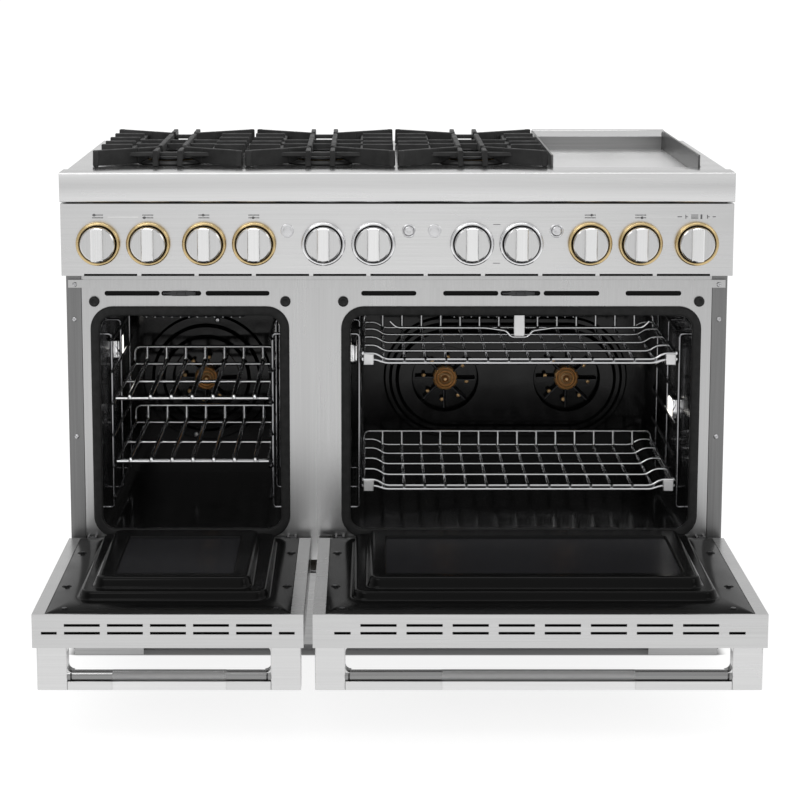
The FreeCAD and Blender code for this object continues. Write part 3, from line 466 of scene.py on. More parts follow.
def knob(name):
    """A turned knob with a grip bar across its face."""
    low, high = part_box(name)
    middle, body = (low + high) / 2, name + "_body"
    hub = Vector((middle.x, high.y, middle.z))
    radius = (high.x - low.x) / 2 / MM + 0.8
    bm = turned(bmesh.new(), hub, "y", [
        (0, 0), (0, radius - 3), (-1.5, radius - 1.2), (-4, radius), (3.2 - KNOB_DEPTH, radius),
        (1.2 - KNOB_DEPTH, radius - 0.8), (-KNOB_DEPTH, radius - 2.6), (-KNOB_DEPTH, 0)], 96)
    piece(name + "_turned", bm, "knob_steel", body, 25, stands_for=name)
    rings = []
    for depth, shrink in ((KNOB_DEPTH - 3, 0), (GRIP_DEPTH - 2.6, 0.2), (GRIP_DEPTH - 0.9, 1.5),
                          (GRIP_DEPTH, 2.9)):
        outline = grip_outline(GRIP_HALF - shrink, radius - 0.6 - shrink)
        rings.append([hub + Vector((x, -depth, z)) * MM for x, z in outline])
    # The grip takes the brighter grip_steel, a painted highlight.
    piece(name + "_grip", loft(bmesh.new(), rings), "grip_steel", body, 25)


def on_panel(name):
    """The point of the panel's face behind a knob."""
    at = centre(name)
    return Vector((at.x, PANEL_FACE, at.z))


def bezel_rings():
    """Plated rings round the knobs, with a near-black disc behind each gap between ring and knob,
    painted shade in that gap.
    """
    for look in ("chrome", "brass"):
        bm = bmesh.new()
        for name in KNOBS:
            if (name in CHROME_KNOBS) == (look == "chrome"):
                turned(bm, on_panel(name), "y", BEZEL, 96)
        node = "knob_bezels_" + look
        piece(node + "_turned", bm, look, smooth=50, stands_for=node)
    bm = bmesh.new()
    for name in KNOBS:
        turned(bm, on_panel(name), "y", WELL)
    piece("knob_wells", bm, "well")


def buttons():
    """Push buttons with dished caps, and two kinds of indicator between the knobs."""
    for name in BUTTONS:
        at = centre(name)
        at.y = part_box(name)[0].y
        piece(name + "_cap", turned(bmesh.new(), at, "y", BUTTON, 64), "lens",
              name + "_body", 50, stands_for=name)
    height = centre("indicator_lenses").z
    bm = bmesh.new()
    for across, profile in ((-0.1980, DOME), (0.0675, DOME), (0.0210, RING), (0.2875, RING)):
        turned(bm, Vector((across, PANEL_FACE, height)), "y", profile, 64)
    piece("indicator_lenses_turned", bm, "lens", smooth=50,
          stands_for="indicator_lenses")


def mark(bm, x, z, wide, tall):
    """Add a printed mark, given in mm, to the panel's face."""
    block(bm, ((x - wide / 2) * MM, PANEL_FACE - 0.12 * MM, (z - tall / 2) * MM),
          ((x + wide / 2) * MM, PANEL_FACE + 0.1 * MM, (z + tall / 2) * MM))


def panel_marks():
    """Printed plans of the burners, ticks and a rule, and near-black dashes under the panel:
    painted shade of its vent slots.
    """
    ink, faint, rule, vent_shade = (bmesh.new() for _ in range(4))
    plan_foot, row_pitch, column_pitch = 832.8, 4.8, 2.5
    plans = {"knob_01": (-6.5, 1), "knob_02": (-6.5, 0), "knob_03": (-1.5, 1),
             "knob_04": (-1.5, 0), "knob_09": (2.3, 1), "knob_10": (2.3, 0)}
    for name, (dot_x, dot_row) in plans.items():
        x = centre(name).x / MM
        for column in range(-3, 5):
            for row in (0, 1):
                here = x - 6.5 + column_pitch * (column + 2)
                if row != dot_row or abs(here - (x + dot_x)) >= 1.3:
                    mark(faint, here, plan_foot + row_pitch * row, 1.9, 2.2)
        spot = Vector(((x + dot_x) * MM, PANEL_FACE, (plan_foot + row_pitch * dot_row) * MM))
        turned(ink, spot, "y", [(0.1, 0), (0.1, 2.4), (-0.12, 2.4), (-0.12, 0)], 16)
    for z in (820.6, 750.1):
        mark(ink, (centre("knob_07").x + centre("knob_08").x) / 2 / MM, z, 13, 1.1)
    x, line = centre("knob_11").x / MM, 834.6
    for dx, wide, tall in ((-31, 8, 1.6), (-20, 1.6, 7), (-18, 4, 1.4), (8, 3.4, 8.5),
                           (19, 1.6, 7), (21, 4, 1.4), (31, 6, 1.6)):
        mark(ink, x + dx, line, wide, tall)
    for dz in (-3.2, -1, 1.2, 3.4):
        mark(faint, x - 4, line + dz, 13, 1.2)
    mark(rule, (centre("knob_01").x + centre("knob_02").x) / 2 / MM, 834, 55, 1.1)
    # Near-black dashes on the panel's face along its lower edge, painted shade standing for the
    # vent slots.
    for column in range(-5, 6):
        mark(vent_shade, 103.6 * column - 0.1, 728.7, 96.2, 4.0)
    piece("panel_marks_dark", ink, "mark")
    piece("panel_marks_faint", faint, "faint_mark")
    piece("panel_rule", rule, "light_mark")
    piece("panel_vent_shade", vent_shade, "well")


# --- doors
DOOR_STEPS = {      # (low, high) plan corners of the two pressed steps of each door's inside
    "left": (((-0.538, -0.496), (-0.221, -0.110)), ((-0.515, -0.472), (-0.250, -0.150))),
    "right": (((-0.078, -0.496), (0.535, -0.110)), ((-0.052, -0.472), (0.512, -0.150))),
}
GRIP_HALVES = {"left": 0.094, "right": 0.1595}      # half lengths of the knurled grips
BAR_RADIUS = 9.1


def ring_at(low, high, radius, z, grow=0.0):
    """A level rounded-rectangle ring; radius and grow, which moves it outward, are in mm."""
    flat = round_corner_ring((low[0] - grow * MM, low[1] - grow * MM),
                             (high[0] + grow * MM, high[1] + grow * MM),
                             max(radius + grow, 0.4) * MM)
    return [(x, y, z) for x, y in flat]


def bank(lean):
    """A soft bank as (part of its rise, growth): concave foot, sloped face, rounded brow."""
    return ((0.0, 6.0), (0.0, 4.0), (0.03, 2.2), (0.12, 0.9), (0.3, 0.0), (0.7, -0.45 * lean),
            (0.88, -0.75 * lean), (0.97, -1.25 * lean), (1.0, -2.0 * lean),
            (1.0, -2.0 * lean - 2.0))


def door_liner(side):
    """The pressed enamel inner of a door: a border, two soft steps and the window recess."""
    node, body = "door_%s_liner" % side, "door_" + side
    low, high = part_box(node)
    pane_low, pane_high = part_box("door_%s_glass" % side)
    inset = Vector((8, 8)) * MM
    border = low.z + 3.5 * MM
    first, second = border + 14 * MM, border + 32 * MM
    rings = [ring_at(low, high, 3, low.z), ring_at(low, high, 3, border - 0.8 * MM),
             ring_at(low, high, 3, border, -0.8)]
    for edges, radius, base, top, lean in zip(DOOR_STEPS[side], (24, 20), (border, first),
                                              (first, second), (3.2, 5.0)):
        rings += [ring_at(*edges, radius, base + part * (top - base), grow)
                  for part, grow in bank(lean)]
    rings += [ring_at(pane_low.xy + inset, pane_high.xy - inset, 5, second + z * MM, grow)
              for grow, z in ((5.4, 0.0), (3.4, 0.0), (1.6, -0.4), (0.5, -1.6), (0.0, -6.9),
                              (-0.4, -9.6))]
    piece(node + "_pressed", loft(bmesh.new(), rings), "door_enamel", body, 60,
          stands_for=node)

    bm = bmesh.new()
    hinge_low, hinge_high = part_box("door_%s_hinges" % side)
    for x, inward in ((hinge_low.x + 5 * MM, 1), (hinge_high.x - 5 * MM, -1)):
        for y, shift in ((-0.200, 0.0), (-0.414, 0.0), (-0.547, 0.0135)):
            turned(bm, Vector((x + inward * shift, y, border)), "z",
                   [(0, 0), (0, 8.5), (0.3, 7.5), (0.3, 0)], 32)
    piece("door_%s_dimples" % side, bm, "well", body)
    bm = bmesh.new()
    wide = high.x - low.x
    for start, end in ((0.09, 0.36), (0.42, 0.50), (0.56, 0.86)):
        block(bm, (low.x + start * wide, -0.5588, border - 0.3 * MM),
              (low.x + end * wide, -0.5562, border + 0.25 * MM))
    piece("door_%s_liner_slots" % side, bm, "well", body)


def door_handle(side):
    """Two flat arms joined by a flat outer strip and a round bar, knurled in the middle."""
    node, body = "door_%s_handle" % side, "door_" + side
    low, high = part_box(node)
    left, right = low.x + 50 * MM, high.x - 50 * MM         # the inner edges of the arms
    middle, strip = (low.x + high.x) / 2, low.z + 15 * MM
    grip_left, grip_right = middle - GRIP_HALVES[side], middle + GRIP_HALVES[side]
    bm = bmesh.new()
    block(bm, low, (left, high.y, high.z))
    block(bm, (right, low.y, low.z), high)
    piece(node + "_arms", bm, "handle_arm", body, edge=(1.6, 3),
          stands_for=node)
    hub = Vector((0, low.y + (BAR_RADIUS + 0.4) * MM, strip + (BAR_RADIUS - 0.8) * MM))
    collar = ((0, 0.9), (5, 0.9), (6.5, -1.3), (8, 0))      # way from the arm, height, in mm

    def bar(name, start, end, look, proud=0.0, collar_at=0):
        """A length of the round bar; collar_at is -1 or 1 where a collar meets an arm."""
        start, end, reach = start / MM, end / MM, BAR_RADIUS + proud
        first, last = [(start, reach)], [(end, reach)]
        if collar_at < 0:
            first = [(start + way, reach + height) for way, height in collar]
        if collar_at > 0:
            last = [(end - way, reach + height) for way, height in collar[::-1]]
        profile = [(start, 0), *first, *last, (end, 0)]
        piece(node + name, turned(bmesh.new(), hub, "x", profile, 48), look,
              body, 30)

    # The round bar's dark steel is a painted dark reflection.
    bar("_bar_a", left - 0.4 * MM, grip_left, "handle_bar", collar_at=-1)
    bar("_bar_b", grip_right, right + 0.4 * MM, "handle_bar", collar_at=1)
    bar("_knurl", grip_left, grip_right, "knurl", proud=0.25)
    for name, start, end, look in (("_strip_a", left, grip_left, "handle_arm"),
                                   ("_strip_b", grip_right, right, "handle_arm"),
                                   ("_strip_mid", grip_left, grip_right, "grip_flat")):
        bm = block(bmesh.new(), (start, low.y + 0.4 * MM, low.z + 0.3 * MM),
                   (end, high.y - 0.4 * MM, strip))
        piece(node + name, bm, look, body, edge=(0.4, 2))
    bm = bmesh.new()
    for x in (left, right):
        block(bm, (x - 0.35 * MM, low.y - 0.12 * MM, low.z + 0.5 * MM),
              (x + 0.35 * MM, low.y + 0.5 * MM, strip))
    piece(node + "_seams", bm, "handle_seam", body)
    bm = bmesh.new()
    round_in, foot = 10 * MM, strip + (2 * BAR_RADIUS - 4) * MM
    turns = [math.radians(90 * k / 8) for k in range(9)]
    for x, way in ((left, 1), (right, -1)):
        for base, up in ((foot, 1), (high.z + 0.4 * MM, -1)):
            outline = [(x - way * 0.5 * MM, base), (x - way * 0.5 * MM, base + up * round_in)]
            outline += [(x + way * round_in * (1 - math.cos(turn)),
                         base + up * round_in * (1 - math.sin(turn))) for turn in turns]
            loft(bm, [[(px, y, pz) for px, pz in outline]
                      for y in (low.y + 2.0 * MM, high.y - 2.0 * MM)])
    piece(node + "_webs", bm, "handle_arm", body, 50)


def gasket():
    """A soft seal with a rounded face round each oven opening."""
    bm = bmesh.new()
    profile = ((0.0, 0.0), (0.4, 3.6), (1.8, 5.6), (4.2, 6.5), (8.5, 6.7), (12.8, 6.5),
               (15.2, 5.6), (16.6, 3.6), (17.0, 0.0))       # inset and height, in mm
    for start, end in SEALS.values():
        rings = []
        for inset, out in profile:
            flat = round_corner_ring((start + inset * MM, SEAL_LOW.z + inset * MM),
                                     (end - inset * MM, SEAL_HIGH.z - inset * MM),
                                     (42 - inset) * MM, 10)
            rings.append([(x, SEAL_HIGH.y - out * MM, z) for x, z in flat])
        loft(bm, rings, loop=True)
    piece("oven_gaskets_soft", bm, "gasket", smooth=50, stands_for="oven_gaskets")


# --- racks and guides
BAR_PITCH = 38.8 * MM


def bar_places(left, right, spare=0.0):
    """Evenly pitched places for the bars of a rack, centred between its sides."""
    count = int((right - left - spare) / BAR_PITCH)
    first = (left + right) / 2 - BAR_PITCH * (count - 1) / 2
    return [first + k * BAR_PITCH for k in range(count)]


def plain_rack(name):
    """The small oven's racks: a rim, long bars that dip at the front and stand up at the rear."""
    low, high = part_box(name)
    body, inset = name + "_body", 3.8 * MM
    left, right = low.x + inset, high.x - inset
    front, rear = low.y + inset, high.y - inset
    level, guard = low.z + inset, high.z - 3.0 * MM
    rim = [[(left + 0.02, front, level), (left, front, level), (left, rear, level),
            (left, rear, guard), (right, rear, guard), (right, rear, level),
            (right, front, level), (right - 0.02, front, level)]]
    for y, z in ((front, level), (front + 0.018, level - 0.002),
                 ((front + rear) / 2, level - 0.002), (rear, level)):
        rim.append([(left, y, z), (right, y, z)])
    wires(name + "_rim", rim, 3.4, "wire", body, 14, stands_for=name)
    bars = [[(x, front - 0.0008, level - 0.001), (x, front + 0.001, level + 0.0052),
             (x, rear - 0.004, level + 0.0052), (x, rear - 0.001, level + 0.012),
             (x, rear, guard)] for x in bar_places(left, right)]
    wires(name + "_bars", bars, 4.5, "wire", body, 10)


def glide_rack(name):
    """The large oven's racks: cross wires that step up at both ends, on satin glides."""
    low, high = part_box(name)
    body = name + "_body"
    left, right = low.x + 4 * MM, high.x - 4 * MM
    front, rear = low.y + 6.5 * MM, high.y - 3.8 * MM
    level, guard, rise = low.z + 10 * MM, high.z - 3.0 * MM, 11 * MM

    def cross_wire(y, ends, middle):
        """A wire across the rack that steps between two levels near its ends."""
        return [(left, y, ends), (left + 0.024, y, ends), (left + 0.040, y, middle),
                (right - 0.040, y, middle), (right - 0.024, y, ends), (right, y, ends)]

    cross = [cross_wire(front + part * (rear - front), level + rise, level)
             for part in (0.0, 0.25, 0.51, 0.77, 1.0)]
    cross.append(cross_wire(front, level - 0.001, level - 0.0072))
    cross.append([(left, rear, level), (left, rear, guard), (right, rear, guard),
                  (right, rear, level)])
    wires(name + "_rim", cross, 2.7, "wire", body, 12, stands_for=name)
    rails = [[(x, front, z), (x, rear, z)] for x in (left, right) for z in (level, level + rise)]
    wires(name + "_rails", rails, 3.2, "wire", body)
    bars = [[(x, front - 0.001, level + 0.003), (x, front + 0.002, level - 0.0045),
             (x, rear - 0.003, level - 0.0045), (x, rear, guard)]
            for x in bar_places(left, right, 0.03)]
    wires(name + "_bars", bars, 3.3, "wire", body, 9)
    bm = bmesh.new()
    for start, end in ((left, left + 0.019), (right - 0.019, right)):
        block(bm, (start, low.y, level - 0.010), (end, low.y + 0.015, level + 0.011))
    piece(name + "_glides", bm, "satin", body, edge=(1.2, 2))


def guides():
    """Wire ladders on the oven walls: uprights and pairs of rungs."""
    low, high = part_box("rack_guides")
    foot, top, pitch = 0.275, 0.605, 0.060
    inner = 17 * MM                                         # from a seal's side to the wall
    rungs = {"left": (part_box("rack_left_lower")[0].z - 3.4 * MM, low.y),
             "right": (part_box("rack_right_lower")[0].z + 3.0 * MM, low.y + 0.034)}
    paths = []
    for oven, (start, end) in SEALS.items():
        for wall, side in ((start + inner, 1), (end - inner, -1)):
            near, upright, rung = (wall + side * out * MM for out in (0.5, 15.5, 20.5))
            for y in (low.y + 0.032, (low.y + high.y) / 2, high.y - 0.030):
                paths.append([(near, y, foot), (upright, y, foot), (upright, y, top),
                              (near, y, top)])
            base, front = rungs[oven]
            for z in (base + k * pitch for k in range(-1, 6)):
                if foot - 0.013 < z < top + 0.007:
                    paths.append([(upright, front, z + 0.004), (rung, front + 0.006, z),
                                  (rung, high.y - 0.006, z), (upright, high.y, z + 0.004)])
    wires("rack_guides_wire", paths, 2.9, "guide_wire", bend=12, stands_for="rack_guides")


# --- oven interiors
SCREW = ((0, 0), (0, 1.0), (0.25, 0.97), (0.42, 0.8), (0.5, 0.5), (0.5, 0.32), (0.3, 0.22),
         (0.3, 0))
RIDGES = [(0, 131), (-9, 129), (-11, 127), (-11, 112), (-9, 110), (-16, 107), (-18, 105),
          (-18, 90), (-16, 88), (-22, 85), (-24, 83), (-24, 69), (-22, 67), (-15, 66),
          (-15, 82), (0, 128)]
LONG_RIDGES = ((0, 0), (2, 9), (4, 11), (11, 11), (13, 9), (15, 15), (17, 17), (24, 17),
               (26, 15), (29, 22), (31, 24))                # inset and height, in mm
FAN_CAP = ((0, 0), (0, 25), (-0.45, 25), (-0.55, 24), (-0.6, 21.5), (-0.52, 20),
           (-0.62, 18.5), (-0.68, 15.5), (-0.6, 14), (-0.7, 12), (-0.76, 8), (-0.62, 6.5),
           (-0.9, 5), (-1, 3), (-1, 0))                     # part of the depth, and radius
FAN_ARMS = 8


def pan_head(bm, x, y, z, radius):
    """Add a domed screw head that stands off a face towards the front."""
    turned(bm, Vector((x, y, z)), "y", [(-a * radius, r * radius) for a, r in SCREW], 24)


def cover_face(bm, edge_ring, fans, depth, steps=48):
    """A flat face inside a ring, pierced by a flanged port in front of each fan."""
    loops = [[bm.verts.new(point) for point in edge_ring]]
    for fan_at in fans:
        port, flange = [], []
        for k in range(steps):
            turn = 2 * math.pi * k / steps
            for ring, radius, back in ((port, 0.068, 0.0), (flange, 0.066, 0.007)):
                ring.append(bm.verts.new((fan_at.x + radius * math.cos(turn), depth + back,
                                          fan_at.z + radius * math.sin(turn))))
        for k in range(steps):
            n = (k + 1) % steps
            bm.faces.new((port[k], port[n], flange[n], flange[k]))
        loops.append(port)
    edges = []
    for ring in loops:
        for k, vert in enumerate(ring):
            pair = (vert, ring[(k + 1) % len(ring)])
            edges.append(bm.edges.get(pair) or bm.edges.new(pair))
    bmesh.ops.triangle_fill(bm, edges=edges, use_beauty=True, normal=(0, -1, 0))


def baffles():
    """Ridged covers over the fans."""
    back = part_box("fan_baffles")[1].y
    left_fan, mid_fan, right_fan = (centre(name) for name in FANS)
    bm = turned(bmesh.new(), Vector((left_fan.x, back, left_fan.z)), "y", RIDGES, 128)
    rings = []
    for inset, out in LONG_RIDGES:
        half = (125 - inset) * MM
        flat = round_corner_ring((mid_fan.x - half, mid_fan.z - half),
                                 (right_fan.x + half, mid_fan.z + half), half - 0.5 * MM, 24)
        rings.append([(x, back - out * MM, z) for x, z in flat])
    loft(bm, rings, closed_ends=False)
    cover_face(bm, rings[-1], (mid_fan, right_fan), back - 24 * MM)
    piece("fan_baffles_pressed", bm, "oven_enamel", smooth=35,
          stands_for="fan_baffles")
    bm = bmesh.new()
    for way in (1, -1):
        pan_head(bm, left_fan.x + way * 0.023, back - 0.011, left_fan.z + way * 0.119, 5.5)
    piece("baffle_screws", bm, "screw")


def fan(name):
    """A capped hub with bright pins round it, over a wheel of leaning vanes."""
    low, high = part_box(name)
    hub = (low + high) / 2
    hub.y = high.y
    depth, body = (high.y - low.y) / MM, name + "_body"
    wheel = turned(bmesh.new(), hub, "y", [(a * depth, r) for a, r in FAN_CAP], 64)
    vanes = bmesh.new()
    for k in range(FAN_ARMS):
        turn = Matrix.Rotation(math.radians(360 / FAN_ARMS * k + 8), 4, "Y")
        pin = hub + turn @ (Vector((44, -0.45 * depth, 0)) * MM)
        turned(wheel, pin, "y", [(0, 0), (0, 4.2), (-5, 4.2), (-6.2, 3), (-6.2, 0)], 16)
        section = []
        for reach, lean in ((22, 0.0), (40, 2.0), (60, 5.5)):
            corners = ((-0.72, lean), (-0.72, lean + 1.4), (-0.12, lean + 5.4),
                       (-0.12, lean + 4.0))
            section.append([hub + turn @ (Vector((reach, y * depth, z)) * MM)
                            for y, z in corners])
        loft(vanes, section)
    piece(name + "_hub", wheel, "fan_brass", body, 50, stands_for=name)
    piece(name + "_vanes", vanes, "dark_metal", body, 30)


def lamps():
    """Ribbed lamp glasses in bright frames, glowing faintly."""
    low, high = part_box("oven_lamps")
    glass, rims = bmesh.new(), bmesh.new()
    for wall, side, y, z in ((low.x, 1, 0.199, 0.543), (high.x, -1, 0.141, 0.437),
                             (SEALS["right"][0] + 17.2 * MM, 1, 0.199, 0.535)):
        for k in range(-4, 5):
            a = (wall + side * 2 * MM, y - 34 * MM, z + (k * 4 - 1.7) * MM)
            b = (wall + side * 8.6 * MM, y + 34 * MM, z + (k * 4 + 1.7) * MM)
            block(glass, [min(p) for p in zip(a, b)], [max(p) for p in zip(a, b)])
        rings = []
        for half, out in ((42, 0), (42, 7.21), (40.6, 10.3), (38, 10.3), (38, 0)):
            flat = round_corner_ring((y - half * MM, z - (half - 21) * MM),
                                     (y + half * MM, z + (half - 21) * MM), 6 * MM, 5)
            rings.append([(wall + side * out * MM, fy, fz) for fy, fz in flat])
        loft(rims, rings, loop=True)
    piece("oven_lamp_glass", glass, "lamp", edge=(1.2, 2),
          stands_for="oven_lamps")
    piece("oven_lamp_frames", rims, "chrome")


def broilers():
    """The infrared burner under each roof and the wire element with its hanger."""
    low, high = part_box("oven_burners")
    boxes, hanger = bmesh.new(), bmesh.new()
    for start, end in ((-0.480, -0.282), (0.100, 0.356)):
        block(boxes, (start, 0.040, 0.626), (end, 0.290, high.z))
    piece("broil_boxes", boxes, "dark_metal", edge=(5, 3),
          stands_for="oven_burners")
    rods = [[(x, 0.050, 0.6255), (x, 0.280, 0.6255)]
            for start, count in ((-0.470, 12), (0.110, 15))
            for x in (start + 0.016 * k for k in range(count))]
    wires("broil_grids", rods, 1.2, "wire")
    middle, front, plane = 0.228, -0.0205, -0.0215
    block(hanger, (middle - 0.010, front, low.z), (middle + 0.010, front + 0.004, high.z))
    block(hanger, (middle - 0.024, front, high.z - 0.003), (middle + 0.024, 0.030, high.z))
    piece("broil_hanger", hanger, "satin", edge=(1.0, 2))
    element = [[(middle + way * out, plane, z) for out, z in
                ((0, 0.5992), (0.016, 0.5992), (0.024, 0.611), (0.062, 0.6165),
                 (0.228, 0.6170), (0.240, 0.6290))] for way in (-1, 1)]
    wires("broil_element", element, 2.2, "wire")


# --- cooktop
def cast_bar(bm, start, end, top, under, wide, draft=1.3):
    """Add an iron bar between two plan points: under is its lower edge at each of them,
    wide the width of its top, and draft how much wider its foot is."""
    start, end = Vector((*start, 0)), Vector((*end, 0))
    along = (end - start).normalized()
    half = Vector((-along.y, along.x, 0)) * (wide / 2 * MM)
    rings = []
    for point, foot_z in zip((start, end), under):
        foot, head = point + Vector((0, 0, foot_z)), point + Vector((0, 0, top))
        rings.append([foot - half * draft, foot + half * draft, head + half, head - half])
    loft(bm, rings)


def grate(name):
    """Six-finger cast grates: slanted corner plates, twin spines and short side fingers."""
    low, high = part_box(name)
    middle, top, deck = (low.x + high.x) / 2, high.z, low.z
    front, rear = low.y + 1.5 * MM, high.y - 1.5 * MM
    half, spine, web = (high.x - low.x) / 2 - 3 * MM, 0.0225, 0.078
    burners = (0.088, 0.378)
    feet, bar, crown = (deck, deck), (top - 15 * MM,) * 2, top - 0.3 * MM
    bm = bmesh.new()
    for side in (-1, 1):
        x, out, edge = middle + side * spine, middle + side * web, middle + side * half
        for corner, burner in ((front + 0.004, burners[0] - 0.006),
                               (rear - 0.004, burners[1] + 0.006)):
            knee = (middle + side * (half * 0.35 + spine * 0.65), corner * 0.35 + burner * 0.65)
            cast_bar(bm, (edge, corner), knee, top, (deck + 0.6 * MM, deck + 1.2 * MM), 8.6)
            cast_bar(bm, knee, (x, burner), top, (deck + 1.2 * MM, bar[0]), 8.6)
            cast_bar(bm, (edge - side * 9 * MM, corner), (edge + side * 1 * MM, corner), top,
                     feet, 11, 1.1)
        cast_bar(bm, (x, front), (x, front + 0.009), top, feet, 9, 1.15)
        cast_bar(bm, (x, front + 0.002), (x, front + 0.064), crown,
                 (top - 20 * MM, top - 13 * MM), 8.2)
        cast_bar(bm, (x, rear - 0.009), (x, rear), top, feet, 9, 1.15)
        cast_bar(bm, (x, rear - 0.064), (x, rear - 0.002), crown,
                 (top - 13 * MM, top - 20 * MM), 8.2)
        cast_bar(bm, (x, burners[0] + 0.016), (x, burners[1] - 0.016), top, bar, 8.8)
        cast_bar(bm, (out, front + 0.046), (out, rear - 0.046), top - 8 * MM, bar, 8)
        for y in (0.131, 0.201, 0.283, 0.369):
            cast_bar(bm, (out, y), (edge, y), top, (top - 11 * MM, top - 17 * MM), 10)
    for y, drop, wide in ((0.201, 5, 8), (0.283, 5, 8), (front + 0.048, 7, 10),
                          (rear - 0.048, 7, 10)):
        cast_bar(bm, (middle - web, y), (middle + web, y), top - drop * MM, bar, wide)
    piece(name + "_cast", bm, "iron", name + "_body", edge=(1.7, 3, 30),
          stands_for=name)


def burners():
    """Brass flame rings with ports under black caps, each in a pressed dish."""
    low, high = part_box("burner_heads")
    cap_low, cap_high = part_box("burner_caps")
    deck, reach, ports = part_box("cooktop_deck")[1].z, 43, 36
    top, crown = (cap_low.z - deck) / MM, (cap_high.z - deck) / MM
    head = [(-5, 0), (-5, 34), (1, 34), (1.5, 38), (3, reach), (5, reach), (top, 40), (top, 0)]
    port = [(-2.2, 0), (-2.2, 1.5), (1.6, 1.5), (1.6, 0)]
    cap = [(top + 0.1, 0), (top + 0.1, 45), (top + 0.5, 48), (top + 1.4, 49),
           (crown - 1.2, 48.4), (crown - 0.3, 46), (crown, 42), (crown, 34), (crown - 0.5, 32),
           (crown - 0.5, 0)]
    dish = [(0.05, 36), (0.05, 61), (1.5, 63), (3.0, 62.4), (7.0, 53), (7.4, 51), (6.8, 49),
            (4.0, 46), (4.0, 36), (0.05, 36)]
    heads, caps, dishes = bmesh.new(), bmesh.new(), bmesh.new()
    for x in (low.x + reach * MM, (low.x + high.x) / 2, high.x - reach * MM):
        for y in (low.y + reach * MM, high.y - reach * MM):
            seat = Vector((x, y, deck))
            turned(heads, seat, "z", head, 96)
            for k in range(ports):
                turn = math.radians(360 / ports * k)
                at = Vector((42.2 * math.cos(turn), 42.2 * math.sin(turn), 5.2)) * MM
                turned(heads, seat + at, "z", port, 6)
            turned(caps, seat, "z", cap, 96)
            turned(dishes, seat, "z", dish, 96)
    piece("burner_heads_turned", heads, "burner_brass", smooth=45,
          stands_for="burner_heads")
    piece("burner_caps_turned", caps, "iron", stands_for="burner_caps")
    piece("burner_dishes", dishes, "iron", smooth=50)


def griddle():
    """A polished plate in a splash guard whose rear wall leans back at the top; the guard's sides
    carry painted shade in a darker copy of its steel.
    """
    low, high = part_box("griddle")
    wall, under, plate, top = 4 * MM, low.z, low.z + 12 * MM, high.z - 3 * MM
    inner = (low.x + wall, high.x - wall)
    lapped = (low.x + wall * 0.5, high.x - wall * 0.5)      # the guard laps half its sides
    trough, face, knee, lip = low.y + 0.030, high.y - 0.027, plate + 27 * MM, top + 2.6 * MM
    bm = block(bmesh.new(), (inner[0], trough, under), (inner[1], face, plate))
    piece("griddle_plate", bm, "griddle", edge=(0.8, 2))
    bm = bmesh.new()
    side = [(low.y + 0.012, under), (low.y + 0.012, top), (high.y, top), (high.y, under)]
    folded(bm, side, low.x, inner[0])
    folded(bm, side, inner[1], high.x)
    # The sides take guard_dark, painted shade on their inner faces.
    piece("griddle_sides", bm, "guard_dark", smooth=20, edge=(0.7, 2))
    upright = [(face, under), (face, knee), (high.y, knee), (high.y, under)]
    piece("griddle_guard", folded(bmesh.new(), upright, *lapped), "guard_steel",
          smooth=20, edge=(0.3, 2), stands_for="griddle")
    lean = [(face, knee), (face + 0.0065, lip - 0.8 * MM), (face + 0.0085, lip), (high.y, lip),
            (high.y, knee)]
    piece("griddle_lip", folded(bmesh.new(), lean, *lapped), "deck_steel",
          smooth=20, edge=(0.4, 2))
    bm = block(bmesh.new(), (inner[0], low.y, under), (inner[1], trough, plate - 7 * MM))
    piece("griddle_trough", bm, "griddle", edge=(0.8, 2))
    bm = block(bmesh.new(), (inner[1] - 3.2 * MM, face - 0.5 * MM, plate + 0.2 * MM),
               (inner[1] - 1.6 * MM, face + 0.5 * MM, top))
    piece("griddle_corner_seam", bm, "well")


def rail():
    """The front rail as a folded channel: a crisp nose, a flat top and a rounded foot."""
    low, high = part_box("front_rail")
    foot, nose = 3 * MM, 2.4 * MM                           # radii of the two front edges
    section = [(high.y, low.z), (low.y + foot, low.z),
               (low.y + foot * 0.3, low.z + foot * 0.3), (low.y, low.z + foot),
               (low.y, high.z - nose), (low.y + 0.7 * MM, high.z - 0.7 * MM),
               (low.y + nose, high.z), (high.y, high.z)]
    piece("front_rail_folded", folded(bmesh.new(), section, low.x, high.x), "rail_steel",
          smooth=50, edge=(0.6, 2, 50), stands_for="front_rail")


# --- small fittings
def bumpers():
    """Rubber bumpers with dished faces."""
    low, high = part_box("door_bumpers")
    radius, depth = (high.z - low.z) / 2, (high.y - low.y) / MM
    profile = [(-a * depth, r * radius / MM) for a, r in
               ((0, 0), (0, 1), (0.6, 1), (0.9, 0.92), (1, 0.75), (1, 0.55), (0.75, 0.4),
                (0.75, 0))]
    bm = bmesh.new()
    for x in (low.x + radius, -0.204, -0.098, high.x - radius):
        turned(bm, Vector((x, high.y, (low.z + high.z) / 2)), "y", profile, 40)
    piece("door_bumpers_turned", bm, "rubber", smooth=50, stands_for="door_bumpers")


